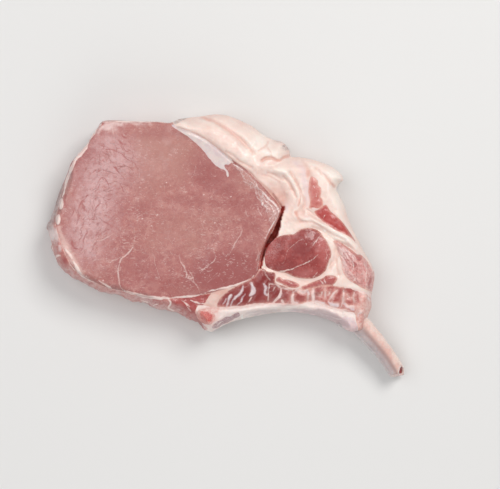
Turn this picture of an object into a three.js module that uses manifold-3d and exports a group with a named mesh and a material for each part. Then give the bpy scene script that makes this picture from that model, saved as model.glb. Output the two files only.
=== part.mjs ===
// A raw pork tomahawk steak: one rib chop with its long rib bone scraped clean at the end, lying flat on a cut face.
//
// Millimetres, +Z up. The steak lies on z = 0 with its underside, and the origin is under the middle of its box.
// +X runs from the big eye muscle towards the clean end of the bone, and +Y from the rib towards the back fat.
//
// Every muscle, the fat and the bone go right through the cut, from the upper face to the lower one, so each is made
// as an upright prism of its own outline, and one rolling upper face cuts them all to height.

import * as THREE from "three";
import { mergeVertices } from "three/addons/utils/BufferGeometryUtils.js";
import Module from "manifold-3d";

const wasm = await Module();
wasm.setup();

// Driving sizes of the whole cut
const THICKNESS = 26; // through the middle of the eye muscle
const SEAM = 0.3; // clear space between neighbouring pieces
const OUTLINE_STEP = 2.4; // spacing of points along an outline
const GRID_STEP = 2.9; // spacing of points on the upper face
const REACH = { x: 94, y: 70 }; // half the sheet that the upper face is worked out on
const ABOVE = THICKNESS + 14; // a height clear over everything
const BELOW = -4; // a depth clear under everything
const rim = { inwards: 2, height: 3.5, steps: 2 }; // how the lower edge of the meat tucks in where it lies

// The edge of the meat, clockwise from its top left corner, in stretches that each roll over in their own way:
// roll is how far in from the edge the face starts to drop, and fall is how far it has dropped at the edge.
const edge = [
  {
    name: "thin skin over the eye muscle",
    roll: 2.5,
    fall: 5,
    points: [[-61, 62], [-52.5, 62.5], [-42.5, 62], [-33.5, 62], [-26.5, 61.5]],
  },
  {
    name: "rounded back fat",
    roll: 8.5,
    fall: 12,
    points: [
      [-22.5, 63.5], [-16.5, 64.5], [-11, 65.2], [-5.5, 66], [0.5, 65.5], [7.5, 63], [13.5, 60],
      [19.5, 55.5], [25, 53], [29, 52], [32, 48.5], [33, 45.2],
    ],
  },
  {
    name: "flap of fat",
    roll: 5,
    fall: 8,
    points: [[37.5, 44.5], [44, 43.2], [50, 41.2], [54.5, 39], [58, 36], [59.2, 33.2], [57, 31], [55.8, 28.5]],
  },
  {
    name: "belly side",
    roll: 5,
    fall: 9,
    points: [
      [58, 24], [60, 19.5], [61.5, 14.5], [64, 8.5], [67, 2.5], [70, -3.5], [73, -8.5], [75, -14],
      [74.5, -19.5], [73.5, -25.5], [73.5, -31], [71.5, -36],
    ],
  },
  {
    name: "flesh cut back round the bone",
    roll: 3,
    fall: 3.5,
    points: [[70, -39.5], [68, -42], [66, -42.5], [63.5, -43]],
  },
  {
    name: "inside of the rib",
    roll: 5,
    fall: 11,
    points: [
      [59, -41], [54, -38], [48.5, -36], [41.5, -34.2], [33.5, -33.2], [25.5, -33.5], [17.5, -34.8],
      [9.5, -36.5], [2.5, -38.5], [-3.5, -41.5], [-7.5, -43.2],
    ],
  },
  {
    name: "chine side",
    roll: 6,
    fall: 12,
    points: [
      [-11, -41.5], [-13, -39.2], [-17.5, -37.2], [-22, -34.5], [-28.5, -32.5], [-35.5, -31],
      [-41, -28.2], [-46.5, -27.8], [-52.5, -25], [-57.5, -24], [-64, -22.2], [-70.5, -18.8],
      [-76.5, -16], [-81.5, -12],
    ],
  },
  {
    name: "round end of the loin",
    roll: 6,
    fall: 13,
    points: [[-85, -6.5], [-87, -0.5], [-88.2, 5.5], [-89.5, 9.5], [-87.5, 14.5], [-85.5, 20], [-83.5, 26.5], [-81, 32.5]],
  },
  {
    name: "shoulder of the eye muscle",
    roll: 3,
    fall: 8,
    points: [[-78, 39], [-74.5, 44.5], [-69.5, 50], [-66, 55.5], [-63.5, 59]],
  },
];

// Outlines of the pieces inside the edge. One that runs past the edge is cut off by it.
const outlines = {
  // Thin band of muscle along the chine and round the end of the loin
  edge_muscle: [
    [-92, 30], [-78, 31], [-70, -2], [-45, -20], [-13, -22], [-5, -22], [-7, -34], [-9.5, -46], [-45, -46],
    [-80, -30], [-95, 0],
  ],
  // Wedge of fat between the eye muscle, the rib muscle and the head of the rib
  fat_wedge: [
    [-10.5, -32], [-9, -27.5], [-7.5, -24], [-5, -20], [5, -16], [8, -18.5], [4, -24], [-1, -30], [-2, -34], [-8, -34],
  ],
  // The big round eye of the loin
  loin_eye: [
    [-66, 68], [-40, 68], [-28.5, 63], [-23.5, 59.2], [-17.5, 57], [-10, 53.2], [-3, 48], [3.5, 43],
    [10, 38.5], [16, 33], [21, 27.5], [25, 23], [27.5, 19.5], [27.5, 16], [26, 12], [23.5, 7.5], [21, 2.5],
    [19, -2.5], [17.8, -7.5], [17, -11.5], [15.5, -14.5], [12.5, -16.8], [8, -18.8], [2.5, -20.8],
    [-3, -22.2], [-8.5, -23.8], [-15, -24.8], [-22.5, -25.5], [-30, -26], [-37.5, -25.8], [-44, -24.5],
    [-50.5, -22.5], [-57.5, -21.2], [-64, -18.5], [-69.5, -16], [-74.5, -12], [-78, -7], [-80.5, -1.5],
    [-82.5, 4], [-83.8, 9], [-84, 14], [-83, 19.5], [-82, 25], [-81, 30], [-86, 36], [-88, 52],
  ],
  // Band of rib muscle along the bone, with the flap of flesh where the bone comes out
  rib_muscle: [
    [-4, -30.5], [-3, -27], [-0.5, -24], [3.5, -21.2], [8, -19], [12, -17], [15, -15], [17, -12.2],
    [19, -11.2], [21.5, -12.8], [25, -13.5], [25.2, -18.2], [29.5, -20], [33.5, -21.6], [37, -21], [42.5, -20.8],
    [47.5, -19.8], [52.5, -19.6], [56, -20], [58.5, -20.5], [62.5, -20.5], [66.5, -22], [70.5, -23],
    [77, -24.5], [79, -33], [74, -38], [72, -44], [66, -46], [65.5, -38], [65, -34], [58, -36],
    [40, -35], [15, -36], [-2, -33],
  ],
  // Two small muscles in the seam under the round one
  small_muscle_left: [[26, -17.2], [29.5, -16.5], [33.5, -17.5], [37, -19], [37, -20.5], [33.5, -21.2], [29.5, -20], [26, -18.5]],
  small_muscle_right: [
    [38, -20.5], [42.5, -18.8], [47, -17], [49, -15], [53, -14], [55.8, -15.5], [55.5, -18], [53, -19.5],
    [48.5, -20], [42.5, -21], [38.8, -21.5],
  ],
  // The small round muscle between the eye and the belly
  round_muscle: [
    [25.5, 4], [29.5, 5.5], [33, 6.5], [35.5, 8], [39.5, 9], [44, 8.8], [47.5, 7], [50, 4], [52.5, 0.5],
    [54.5, -3.5], [53.5, -6.5], [51.5, -10], [48.5, -13.5], [45, -15.8], [40.5, -16.5], [36, -15.8],
    [32, -14], [28, -12.8], [23.5, -12], [20.5, -10], [19.2, -6.5], [20, -2.5], [22, 0.8],
  ],
  // Streaks of muscle in the belly fat
  fold_strip: [
    [43, 34], [45, 33.5], [46.5, 30], [47.2, 25.5], [48, 20.5], [46.5, 18.5], [43, 19], [42, 21.5], [42.5, 26.5], [42, 30.5],
  ],
  belly_strip: [
    [45.5, 17.5], [48, 19], [50.5, 19.8], [54, 16.5], [58.5, 13], [62, 9], [66, 4], [69, 0], [66, 1.8],
    [62, 4.8], [57, 7.5], [52, 10.5], [48, 13.5],
  ],
  // Belly muscle beside the rib end
  belly_muscle: [
    [53, 3], [56.5, 2.5], [61, 0], [65, -3], [67.5, -5], [70.5, -5], [75, -6], [80, -13], [79, -23],
    [73.5, -24], [69.5, -21.5], [66, -19.5], [63, -15.5], [61, -11], [58.5, -5.5], [55.5, -1],
  ],
  // The rib from its sawn head to where the flesh is cut back, with the smooth lining of the rib cage on its inside
  rib_bone: [
    [-14.5, -32.5], [-13, -30.5], [-9.5, -29.5], [-5.5, -31], [0, -31.5], [7.5, -30.8], [15, -30], [21.5, -29],
    [27.5, -29.8], [33.5, -30], [39, -30], [44, -28.5], [50, -29], [55, -31.2], [60, -32.8], [65.5, -33],
    [65.5, -37], [66, -42], [65, -46], [57, -46], [45, -40], [30, -38], [15, -40], [2, -44], [-6, -48],
    [-10, -46], [-11, -40], [-13.5, -36],
  ],
};

// The deep slit where the eye muscle has come away from the fat
const slit = [
  [27.5, 20], [27.8, 16], [26, 12], [23.5, 7.5], [21, 2.5], [19, -2.5], [17.8, -7.5], [17.2, -11],
  [18.5, -8], [20, -3], [22, 1], [24.5, 3.5], [26.5, 7.5], [27.8, 11.5], [28.8, 15.5], [29.8, 19], [29, 21.5],
];
const SLIT_FLOOR = 7; // height of the bottom of the slit

// How thick the cut lies, as a share of THICKNESS, at a few places of its face
const thickness = [
  { at: [-50, 20], share: 1 },
  { at: [-10, 30], share: 1 },
  { at: [-40, -12], share: 0.98 },
  { at: [-76, 10], share: 0.95 },
  { at: [-5, -12], share: 0.96 },
  { at: [5, 52], share: 1.02 },
  { at: [38, 34], share: 0.92 },
  { at: [38, -5], share: 0.95 },
  { at: [62, -10], share: 0.86 },
  { at: [30, -25], share: 0.88 },
  { at: [-9, -37], share: 0.84 },
  { at: [30, -32], share: 0.84 },
  { at: [60, -37], share: 0.76 },
  { at: [69, -36], share: 0.74 },
];

// Folds, seams and swellings of the upper face: each follows a line, and rises (or sinks, if rise is negative) by
// rise along it, fading out over width to either side.
const relief = [
  // crease between the two lobes of the back fat
  { rise: -2.2, width: 1.9, line: [[-11, 64.5], [-6, 62.5], [0, 59], [6.5, 55], [11, 50.5], [13.5, 46.5]] },
  // the inner lobe, a smooth round log
  { rise: 2.2, width: 5.5, line: [[-19, 60], [-10, 57], [0, 51], [9, 44.5]] },
  // folds where the back fat turns into the belly fat
  { rise: -1.4, width: 1.6, line: [[21.5, 53], [18.5, 49.5], [15.5, 45.5], [12.5, 44]] },
  { rise: -2.6, width: 1.8, line: [[15, 42], [21.5, 42.5], [26, 42], [30, 44.5], [33, 45.5]] },
  { rise: 1.2, width: 3, line: [[19, 37], [26, 38.5], [33, 37]] },
  // seam between the fat and the eye muscle
  { rise: -1.6, width: 1.8, line: [[-24, 59.5], [-10, 53.2], [3.5, 43], [16, 33], [27.5, 20.5]] },
  // smooth hollow in the fat above the slit
  { rise: -4.5, width: 6, line: [[24.5, 29], [29, 24.5]] },
  // curved folds round the hollow
  { rise: 1.4, width: 2.2, line: [[29, 38.5], [34, 33.5], [36.5, 27], [35.5, 20.5], [32.5, 15]] },
  { rise: -1.1, width: 1.4, line: [[31, 40], [36, 34.5], [39, 27.5], [39.2, 22], [37, 17], [35.5, 13]] },
  // edge of the flap of fat
  { rise: -1.3, width: 1.5, line: [[42, 40.5], [47, 37.5], [51.5, 33], [56, 28.5]] },
  // white cord of fat between the belly muscles
  { rise: 1.1, width: 1.8, line: [[38, 13.5], [46, 11], [54, 6], [62, 1], [68.5, -3]] },
  { rise: -1, width: 1.2, line: [[44, 8.8], [50, 5.5], [54, 3], [61, -0.5], [67, -5]] },
  // lips of the slit, rolled down
  { rise: -3, width: 2.4, line: [[28.6, 19], [27, 12], [22.5, 3], [19.3, -4.5], [17.3, -11]] },
  // seams round the round muscle
  { rise: -0.9, width: 1.5, line: [[19.8, -10.5], [28, -13.5], [36, -16.8], [42, -17.5], [49, -14.2], [54.5, -7], [55.5, -2]] },
  // swelling of the round muscle
  { rise: 1.3, width: 8, line: [[31, -4], [43, -4]] },
  // seam between the eye and the rib muscle
  { rise: -1.2, width: 1.8, line: [[17, -12], [12, -17.5], [3, -21.2], [-8, -24.2], [-22, -26]] },
  // face of the rib, a little proud of the muscle above it
  { rise: 0.8, width: 2.2, line: [[-3, -32.5], [12, -32], [28, -31], [42, -31.5], [56, -34.5]] },
  // head of the rib
  { rise: 1, width: 4, line: [[-10, -34.5], [-8, -35.5]] },
];

// The bundles of the rib muscle swell between the white walls that part them
const bundles = {
  middles: [[5, -26], [12.5, -24.5], [19.5, -23], [23.5, -25], [29.5, -25.5], [37.5, -26], [47.5, -25], [52.5, -24.5], [57, -26], [62.5, -26]],
  rise: 0.9,
  width: 2.6,
};

// The scraped part of the rib: a station every so often along its middle line, as height of the middle, half width
// seen from above and half height
const cleanBone = {
  stations: [
    { at: [58, -35.5], middle: 10, halfWidth: 4.6, halfHeight: 5.6 },
    { at: [63.5, -37.4], middle: 10, halfWidth: 5, halfHeight: 5.8 },
    { at: [68, -39.9], middle: 10, halfWidth: 5.3, halfHeight: 5.9 },
    { at: [72.2, -44.3], middle: 9.8, halfWidth: 4.9, halfHeight: 5.7 },
    { at: [76.5, -49.2], middle: 9.4, halfWidth: 4.7, halfHeight: 5.5 },
    { at: [80.2, -53.7], middle: 8.8, halfWidth: 4.5, halfHeight: 5.2 },
    { at: [83.4, -58.4], middle: 8.1, halfWidth: 4.35, halfHeight: 5 },
    { at: [86.4, -63.2], middle: 7.4, halfWidth: 4.3, halfHeight: 5 },
    { at: [89.5, -68], middle: 6.8, halfWidth: 4.3, halfHeight: 5 },
  ],
  rings: 22,
  sides: 18,
  grooveDepth: 0.13, // share of the half height taken by the groove along the top
  grooveAt: 1.75, // radians round the section, where the groove runs
  grooveWidth: 0.4,
};
const sawnEnd = { at: [85.2, -63.1, 8], facing: [0.5, -0.84, 0.2] };
// The marrow runs nearer to the outer side of the bone, by aside
const marrow = { length: 16, halfWidth: 1.6, halfHeight: 2.5, aside: 1.4, sides: 10, rings: 6 };
const headMarrow = { at: [-9.6, -35.3], halfWidth: 3.9, halfHeight: 3.3, turn: 0.3, sides: 18 };

// A closed run of points along the smooth curve through an outline
function smoothLoop(points) {
  const curve = new THREE.CatmullRomCurve3(points.map(([x, y]) => new THREE.Vector3(x, y, 0)), true);
  const count = Math.round(curve.getLength() / OUTLINE_STEP);
  return curve.getSpacedPoints(count).slice(0, count).map((p) => new THREE.Vector2(p.x, p.y));
}

// The same run moved outwards by a small distance
function grown(loop, by) {
  const outwards = THREE.ShapeUtils.isClockWise(loop) ? -1 : 1;
  return loop.map((p, i) => {
    const before = loop[(i + loop.length - 1) % loop.length];
    const after = loop[(i + 1) % loop.length];
    const along = after.clone().sub(before).normalize();
    return new THREE.Vector2(p.x + outwards * along.y * by, p.y - outwards * along.x * by);
  });
}

function solidOf(geometry) {
  geometry.deleteAttribute("normal");
  geometry.deleteAttribute("uv");
  const merged = mergeVertices(geometry, 1e-4);
  return new wasm.Manifold(
    new wasm.Mesh({
      numProp: 3,
      vertProperties: new Float32Array(merged.attributes.position.array),
      triVerts: new Uint32Array(merged.index.array),
    }),
  );
}

// The whole meat as a prism, tucked in round its lower edge
function tuckedPrism(loop, high) {
  const geometry = new THREE.ExtrudeGeometry(new THREE.Shape(loop), {
    depth: high,
    bevelThickness: rim.height,
    bevelSize: rim.inwards,
    bevelOffset: -rim.inwards,
    bevelSegments: rim.steps,
  });
  geometry.translate(0, 0, rim.height);
  return solidOf(geometry);
}

function prism(loop, low, high) {
  const geometry = new THREE.ExtrudeGeometry(new THREE.Shape(loop), { depth: high - low, bevelEnabled: false });
  geometry.translate(0, 0, low);
  return solidOf(geometry);
}

// A closed skin through rings of points, each ring the same number of points, counter-clockwise along the run
function loft(rings) {
  const sides = rings[0].length;
  const position = rings.flat().flatMap((p) => [p.x, p.y, p.z]);
  const index = [];
  for (let r = 0; r + 1 < rings.length; r++)
    for (let s = 0; s < sides; s++) {
      const a = r * sides + s;
      const b = r * sides + ((s + 1) % sides);
      index.push(a, b, b + sides, a, b + sides, a + sides);
    }
  const last = (rings.length - 1) * sides;
  for (let s = 1; s + 1 < sides; s++) {
    index.push(0, s + 1, s);
    index.push(last, last + s, last + s + 1);
  }
  const geometry = new THREE.BufferGeometry();
  geometry.setAttribute("position", new THREE.Float32BufferAttribute(position, 3));
  geometry.setIndex(index);
  return solidOf(geometry);
}

function distanceToLine([x, y], line) {
  let least = Infinity;
  for (let i = 0; i + 1 < line.length; i++) {
    const [ax, ay] = line[i];
    const [bx, by] = line[i + 1];
    const dx = bx - ax;
    const dy = by - ay;
    const t = THREE.MathUtils.clamp(((x - ax) * dx + (y - ay) * dy) / (dx * dx + dy * dy), 0, 1);
    least = Math.min(least, Math.hypot(x - ax - t * dx, y - ay - t * dy));
  }
  return least;
}

const bump = (distance, width) => Math.exp(-((distance / width) ** 2));

// The whole edge as one smooth run, and each stretch of it with the first point of the next, to measure from
const meatLoop = smoothLoop(edge.flatMap((stretch) => stretch.points));
const closedMeatLine = [...meatLoop, meatLoop[0]].map((p) => [p.x, p.y]);
const stretchLines = edge.map((stretch, i) => [...stretch.points, edge[(i + 1) % edge.length].points[0]]);

function inside([x, y], loop) {
  let within = false;
  for (let i = 0, j = loop.length - 1; i < loop.length; j = i++) {
    const a = loop[i];
    const b = loop[j];
    if (a.y > y !== b.y > y && x < ((b.x - a.x) * (y - a.y)) / (b.y - a.y) + a.x) within = !within;
  }
  return within;
}

// A weighted mean in which the nearer of several places count most
function blend(values, distances, softness) {
  let sum = 0;
  let weights = 0;
  values.forEach((value, i) => {
    const weight = 1 / (distances[i] ** 2 + softness ** 2) ** 2;
    sum += value * weight;
    weights += weight;
  });
  return sum / weights;
}

function faceHeight(x, y) {
  const here = [x, y];
  const apart = thickness.map(({ at }) => Math.hypot(x - at[0], y - at[1]));
  let height = THICKNESS * blend(thickness.map(({ share }) => share), apart, 14);
  for (const { rise, width, line } of relief) height += rise * bump(distanceToLine(here, line), width);
  for (const [bx, by] of bundles.middles) height += bundles.rise * bump(Math.hypot(x - bx, y - by), bundles.width);
  height += 0.25 * Math.sin(x / 7.1 + 1.3) * Math.sin(y / 5.7) + 0.15 * Math.sin(x / 3.4 - y / 4.1);

  const toStretches = stretchLines.map((line) => distanceToLine(here, line));
  const roll = blend(edge.map((stretch) => stretch.roll), toStretches, 1);
  const fall = blend(edge.map((stretch) => stretch.fall), toStretches, 1);
  const toEdge = distanceToLine(here, closedMeatLine);
  const inwards = inside(here, meatLoop) ? toEdge : -Math.min(toEdge, roll / 2);
  return height - fall * Math.max(1 - inwards / roll, 0) ** 2;
}

// The whole slab under the upper face, before any outline cuts it: a sheet of squares, with a skirt down from its
// border to one point far below
function slabUnderFace() {
  const columns = Math.round((2 * REACH.x) / GRID_STEP);
  const rows = Math.round((2 * REACH.y) / GRID_STEP);
  const position = [];
  const index = [];
  const at = (c, r) => r * (columns + 1) + c;
  for (let r = 0; r <= rows; r++)
    for (let c = 0; c <= columns; c++) {
      const x = -REACH.x + (2 * REACH.x * c) / columns;
      const y = -REACH.y + (2 * REACH.y * r) / rows;
      position.push(x, y, faceHeight(x, y));
    }
  for (let r = 0; r < rows; r++)
    for (let c = 0; c < columns; c++) {
      index.push(at(c, r), at(c + 1, r), at(c + 1, r + 1));
      index.push(at(c, r), at(c + 1, r + 1), at(c, r + 1));
    }
  const lowest = position.length / 3;
  position.push(0, 0, -40 * THICKNESS);
  for (let c = 0; c < columns; c++) {
    index.push(at(c + 1, 0), at(c, 0), lowest);
    index.push(at(c, rows), at(c + 1, rows), lowest);
  }
  for (let r = 0; r < rows; r++) {
    index.push(at(0, r), at(0, r + 1), lowest);
    index.push(at(columns, r + 1), at(columns, r), lowest);
  }
  const geometry = new THREE.BufferGeometry();
  geometry.setAttribute("position", new THREE.Float32BufferAttribute(position, 3));
  geometry.setIndex(index);
  return solidOf(geometry);
}

// Rings of the scraped bone, or with swell of the space that the flesh leaves round it
function boneRings(swell) {
  const { stations, rings, sides, grooveDepth, grooveAt, grooveWidth } = cleanBone;
  const middle = new THREE.CatmullRomCurve3(stations.map((s) => new THREE.Vector3(s.at[0], s.at[1], s.middle)));
  const halves = new THREE.CatmullRomCurve3(stations.map((s) => new THREE.Vector3(s.halfWidth, s.halfHeight, 0)));
  return Array.from({ length: rings + 1 }, (_, r) => {
    const centre = middle.getPoint(r / rings);
    const along = middle.getTangent(r / rings);
    const half = halves.getPoint(r / rings);
    const across = new THREE.Vector3(-along.y, along.x, 0).normalize();
    return Array.from({ length: sides }, (_, s) => {
      const angle = (2 * Math.PI * s) / sides;
      const groove = swell ? 0 : grooveDepth * bump(angle - grooveAt, grooveWidth);
      const out = across.clone().multiplyScalar((half.x + swell) * Math.cos(angle));
      out.z = (half.y * (1 - groove) + swell) * Math.sin(angle);
      return centre.clone().add(out);
    });
  });
}

// A core along the last stretch of the bone, from inside it to past the sawn end
function marrowRings(swell) {
  const { stations } = cleanBone;
  const middle = new THREE.CatmullRomCurve3(stations.map((s) => new THREE.Vector3(s.at[0], s.at[1], s.middle)));
  const start = 1 - marrow.length / middle.getLength() - 0.12;
  return Array.from({ length: marrow.rings + 1 }, (_, r) => {
    const t = THREE.MathUtils.lerp(start - (swell ? 0.01 : 0), 1, r / marrow.rings);
    const centre = middle.getPoint(t);
    const along = middle.getTangent(t);
    const across = new THREE.Vector3(-along.y, along.x, 0).normalize();
    centre.addScaledVector(across, marrow.aside);
    return Array.from({ length: marrow.sides }, (_, s) => {
      const angle = (2 * Math.PI * s) / marrow.sides;
      const out = across.clone().multiplyScalar((marrow.halfWidth + swell) * Math.cos(angle));
      out.z = (marrow.halfHeight + swell) * Math.sin(angle);
      return centre.clone().add(out);
    });
  });
}

function headMarrowLoop(swell) {
  const { at, halfWidth, halfHeight, turn, sides } = headMarrow;
  return Array.from({ length: sides }, (_, s) => {
    const angle = (2 * Math.PI * s) / sides;
    const uneven = 1 + 0.08 * Math.sin(3 * angle + 0.7);
    return new THREE.Vector2((halfWidth * uneven + swell) * Math.cos(angle), (halfHeight * uneven + swell) * Math.sin(angle))
      .rotateAround(new THREE.Vector2(), turn)
      .add(new THREE.Vector2(...at));
  });
}

// Everything past the plane of the saw cut at the end of the bone
function pastSawnEnd() {
  const size = 60;
  const geometry = new THREE.BoxGeometry(size, size, size);
  geometry.translate(0, 0, size / 2);
  const facing = new THREE.Vector3(...sawnEnd.facing).normalize();
  geometry.applyQuaternion(new THREE.Quaternion().setFromUnitVectors(new THREE.Vector3(0, 0, 1), facing));
  geometry.translate(...sawnEnd.at);
  return solidOf(geometry);
}

const materials = {
  fat: { color: "#efd9cf", roughness: 0.45 },
  paleMuscle: { color: "#bb8581", roughness: 0.35 },
  darkMuscle: { color: "#a0504f", roughness: 0.35 },
  streakMuscle: { color: "#cb7c78", roughness: 0.4 },
  bone: { color: "#e3d2cb", roughness: 0.5 },
  marrow: { color: "#a83c38", roughness: 0.45 },
};

function meshOf(name, solid, finish) {
  const { vertProperties, triVerts } = solid.getMesh();
  const geometry = new THREE.BufferGeometry();
  geometry.setAttribute("position", new THREE.Float32BufferAttribute(vertProperties, 3));
  geometry.setIndex(new THREE.Uint32BufferAttribute(triVerts, 1));
  geometry.computeVertexNormals();
  const mesh = new THREE.Mesh(geometry, new THREE.MeshStandardMaterial({ ...materials[finish], metalness: 0 }));
  mesh.name = name;
  return mesh;
}

// From the piece that gives way everywhere to the one that gives way nowhere
const order = [
  ["fat_cap", "fat"],
  ["edge_muscle", "paleMuscle"],
  ["fat_wedge", "fat"],
  ["loin_eye", "paleMuscle"],
  ["rib_muscle", "darkMuscle"],
  ["small_muscle_left", "darkMuscle"],
  ["small_muscle_right", "darkMuscle"],
  ["round_muscle", "darkMuscle"],
  ["fold_strip", "streakMuscle"],
  ["belly_strip", "streakMuscle"],
  ["belly_muscle", "streakMuscle"],
  ["rib_bone", "bone"],
];

const slab = slabUnderFace();
const loops = Object.fromEntries(Object.entries(outlines).map(([name, points]) => [name, smoothLoop(points)]));
loops.fat_cap = meatLoop;
const meat = slab.intersect(tuckedPrism(meatLoop, ABOVE));
const slitSpace = prism(smoothLoop(slit), SLIT_FLOOR, ABOVE);
const pastEnd = pastSawnEnd();
const scrapedBone = loft(boneRings(0)).subtract(pastEnd);
const spaceForBone = loft(boneRings(SEAM));
const headHole = prism(headMarrowLoop(SEAM), BELOW, ABOVE);

const steak = new THREE.Group();
order.forEach(([name, finish], i) => {
  let piece = meat.intersect(prism(loops[name], BELOW, ABOVE));
  for (const [over] of order.slice(i + 1)) piece = piece.subtract(prism(grown(loops[over], SEAM), BELOW, ABOVE));
  piece = piece.subtract(slitSpace);
  if (name === "rib_bone") piece = piece.subtract(headHole).add(scrapedBone).subtract(loft(marrowRings(SEAM)));
  else if (name === "rib_muscle") piece = piece.subtract(spaceForBone);
  steak.add(meshOf(name, piece, finish));
});
steak.add(meshOf("head_marrow", meat.intersect(prism(headMarrowLoop(0), BELOW, ABOVE)), "marrow"));
steak.add(meshOf("rib_marrow", loft(marrowRings(0)).subtract(pastEnd), "marrow"));

const middle = new THREE.Box3().setFromObject(steak).getCenter(new THREE.Vector3());
for (const piece of steak.children) piece.geometry.translate(-middle.x, -middle.y, 0);

export default steak;
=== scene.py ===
import math

import bpy
import numpy as np
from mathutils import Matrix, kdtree


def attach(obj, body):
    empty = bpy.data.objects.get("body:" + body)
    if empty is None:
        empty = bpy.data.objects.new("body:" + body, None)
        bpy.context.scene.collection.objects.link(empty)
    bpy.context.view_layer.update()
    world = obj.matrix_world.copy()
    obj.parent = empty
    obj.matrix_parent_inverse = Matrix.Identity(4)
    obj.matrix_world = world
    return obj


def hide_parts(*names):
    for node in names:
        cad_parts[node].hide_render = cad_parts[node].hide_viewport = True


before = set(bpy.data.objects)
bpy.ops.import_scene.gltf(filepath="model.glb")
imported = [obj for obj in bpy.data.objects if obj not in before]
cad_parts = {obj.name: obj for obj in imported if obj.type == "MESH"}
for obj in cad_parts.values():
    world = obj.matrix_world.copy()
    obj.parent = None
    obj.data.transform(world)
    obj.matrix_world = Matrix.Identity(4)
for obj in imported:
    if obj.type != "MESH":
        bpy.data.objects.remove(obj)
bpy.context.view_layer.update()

# ---- Rib bone and its marrow ----
# The rib runs along the inside of the cut, from its sawn head to the end that was scraped clean of meat. It
# is grey white bone round red spongy marrow, under the thin lilac lining of the rib cage. A saw cut it off at
# both ends.

# All sizes are in millimetres until a mesh is made. The rib lies in one slice with all the flesh, so the
# slice's edge and its rolling upper face come with it: the edge clockwise from its top left corner, in
# stretches that roll over in their own way, as how far in the roll starts, how far the face has dropped at
# the edge, and points.
MIDDLE = (0.15, 0.47)
THICKNESS = 26
EDGE = [
    (1.4, 2.5, [(-61, 62), (-52.5, 62.5), (-42.5, 62), (-33.5, 62), (-26.5, 61.5)]),
    (8.5, 12, [
        (-22.5, 63.5), (-16.5, 64.5), (-11, 65.2), (-5.5, 66), (0.5, 65.5), (7.5, 63), (13.5, 60),
        (19.5, 55.5), (25, 53), (29, 52), (32, 48.5), (33, 45.2)
    ]),
    (5, 8, [
        (37.5, 44.5), (44, 43.2), (50, 41.2), (54.5, 39), (58, 36), (59.2, 33.2), (57, 31), (55.8, 28.5)
    ]),
    (5, 9, [
        (58, 24), (60, 19.5), (61.5, 14.5), (64, 8.5), (67, 2.5), (70, -3.5), (73, -8.5), (75, -14),
        (74.5, -19.5), (73.5, -25.5), (73.5, -31), (71.5, -36)
    ]),
    (3, 3.5, [(70, -39.5), (68, -42), (66, -42.5), (63.5, -43)]),
    (5, 11, [
        (59, -41), (54, -38), (48.5, -36), (41.5, -34.2), (33.5, -33.2), (25.5, -33.5), (17.5, -34.8),
        (9.5, -36.5), (2.5, -38.5), (-3.5, -41.5), (-7.5, -43.2)
    ]),
    (6, 12, [
        (-11, -41.5), (-13, -39.2), (-17.5, -37.2), (-22, -34.5), (-28.5, -32.5), (-35.5, -31), (-41, -28.2),
        (-46.5, -27.8), (-52.5, -25), (-57.5, -24), (-64, -22.2), (-70.5, -18.8), (-76.5, -16), (-81.5, -12)
    ]),
    (6, 13, [
        (-85, -6.5), (-87, -0.5), (-88.2, 5.5), (-89.5, 9.5), (-87.5, 14.5), (-85.5, 20), (-83.5, 26.5),
        (-81, 32.5)
    ]),
    (1.6, 3, [(-78, 39), (-74.5, 44.5), (-69.5, 50), (-66, 55.5), (-63.5, 59)]),
]
# how thick the cut lies at a few places, as a share of THICKNESS
SHARES = [
    ((-50, 20), 1), ((-10, 30), 1), ((-40, -12), 0.98), ((-76, 10), 0.95), ((-5, -12), 0.96), ((5, 52), 1.02),
    ((38, 34), 0.92), ((38, -5), 0.95), ((62, -10), 0.86), ((30, -25), 0.88), ((-9, -37), 0.84),
    ((30, -32), 0.84), ((60, -37), 0.76), ((69, -36), 0.74)
]
# folds and seams that several pieces share, as the rise along a line, how far out that fades, and the line
FOLDS = [
    (-2, 1.3, [(-12, 64.5), (-9.5, 64), (5, 55.2), (14, 46.5)]),
    (2.4, 4.5, [(-19, 60), (-10, 57), (0, 51), (9, 44.5)]), (-0.3, 0.7, [(21.5, 52), (21, 50.5), (16.5, 47)]),
    (-1.5, 0.65, [
        (18.5, 42.5), (20.5, 43.7), (23.5, 43.8), (25.5, 42.8), (27.5, 42.7), (29, 44), (32.5, 45.3)
    ]),
    (1.3, 2.4, [(16, 39.5), (24, 39), (31, 37)]),
    (-0.8, 0.8, [
        (-23.5, 58.5), (-16, 56), (-8.5, 52), (5, 41), (12.5, 36), (15.5, 33), (22.5, 27), (29, 19.2)
    ]),
    (-3.6, 4.6, [(26, 27), (28, 24)]),
    (1.1, 1.3, [(25.5, 37.5), (30, 36), (36.5, 29.5), (38, 23.5), (35, 17)]),
    (-1, 0.9, [(32.5, 36.5), (36, 31), (39.8, 21.5), (39, 19), (39.2, 17)]),
    (-0.9, 0.9, [(45.5, 39), (52.5, 32), (54.5, 29.5)]),
    (1.3, 1.6, [(36, 14.5), (42.5, 12.8), (50, 9.8), (65, 0.5), (69.5, -3)]),
    (-1.1, 0.9, [(44, 9.3), (50, 6.5), (54, 3.4), (61, 0.2), (67.5, -4.8)]),
    (-1.8, 0.9, [(27.3, 15.5), (26, 11.5), (20.8, 1.2), (17.5, -7)]),
    (-0.9, 1.3, [(19.8, -10.5), (28, -13.5), (36, -16.8), (42, -17.5), (49, -14.2), (54.5, -7), (55.5, -2)]),
    (-0.2, 1.3, [(17, -12), (12, -17.5), (-8, -24.2), (-22, -26)]),
    (0.9, 1.9, [(-3, -32.5), (12, -32), (28, -31), (42, -31.5), (56, -34.5)]),
    (1, 4, [(-10, -34.5), (-8, -35.5)]),
]
TUCK, TUCK_HEIGHT = 2.0, 3.5  # how far the lower rim draws in, and from what height down
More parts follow.
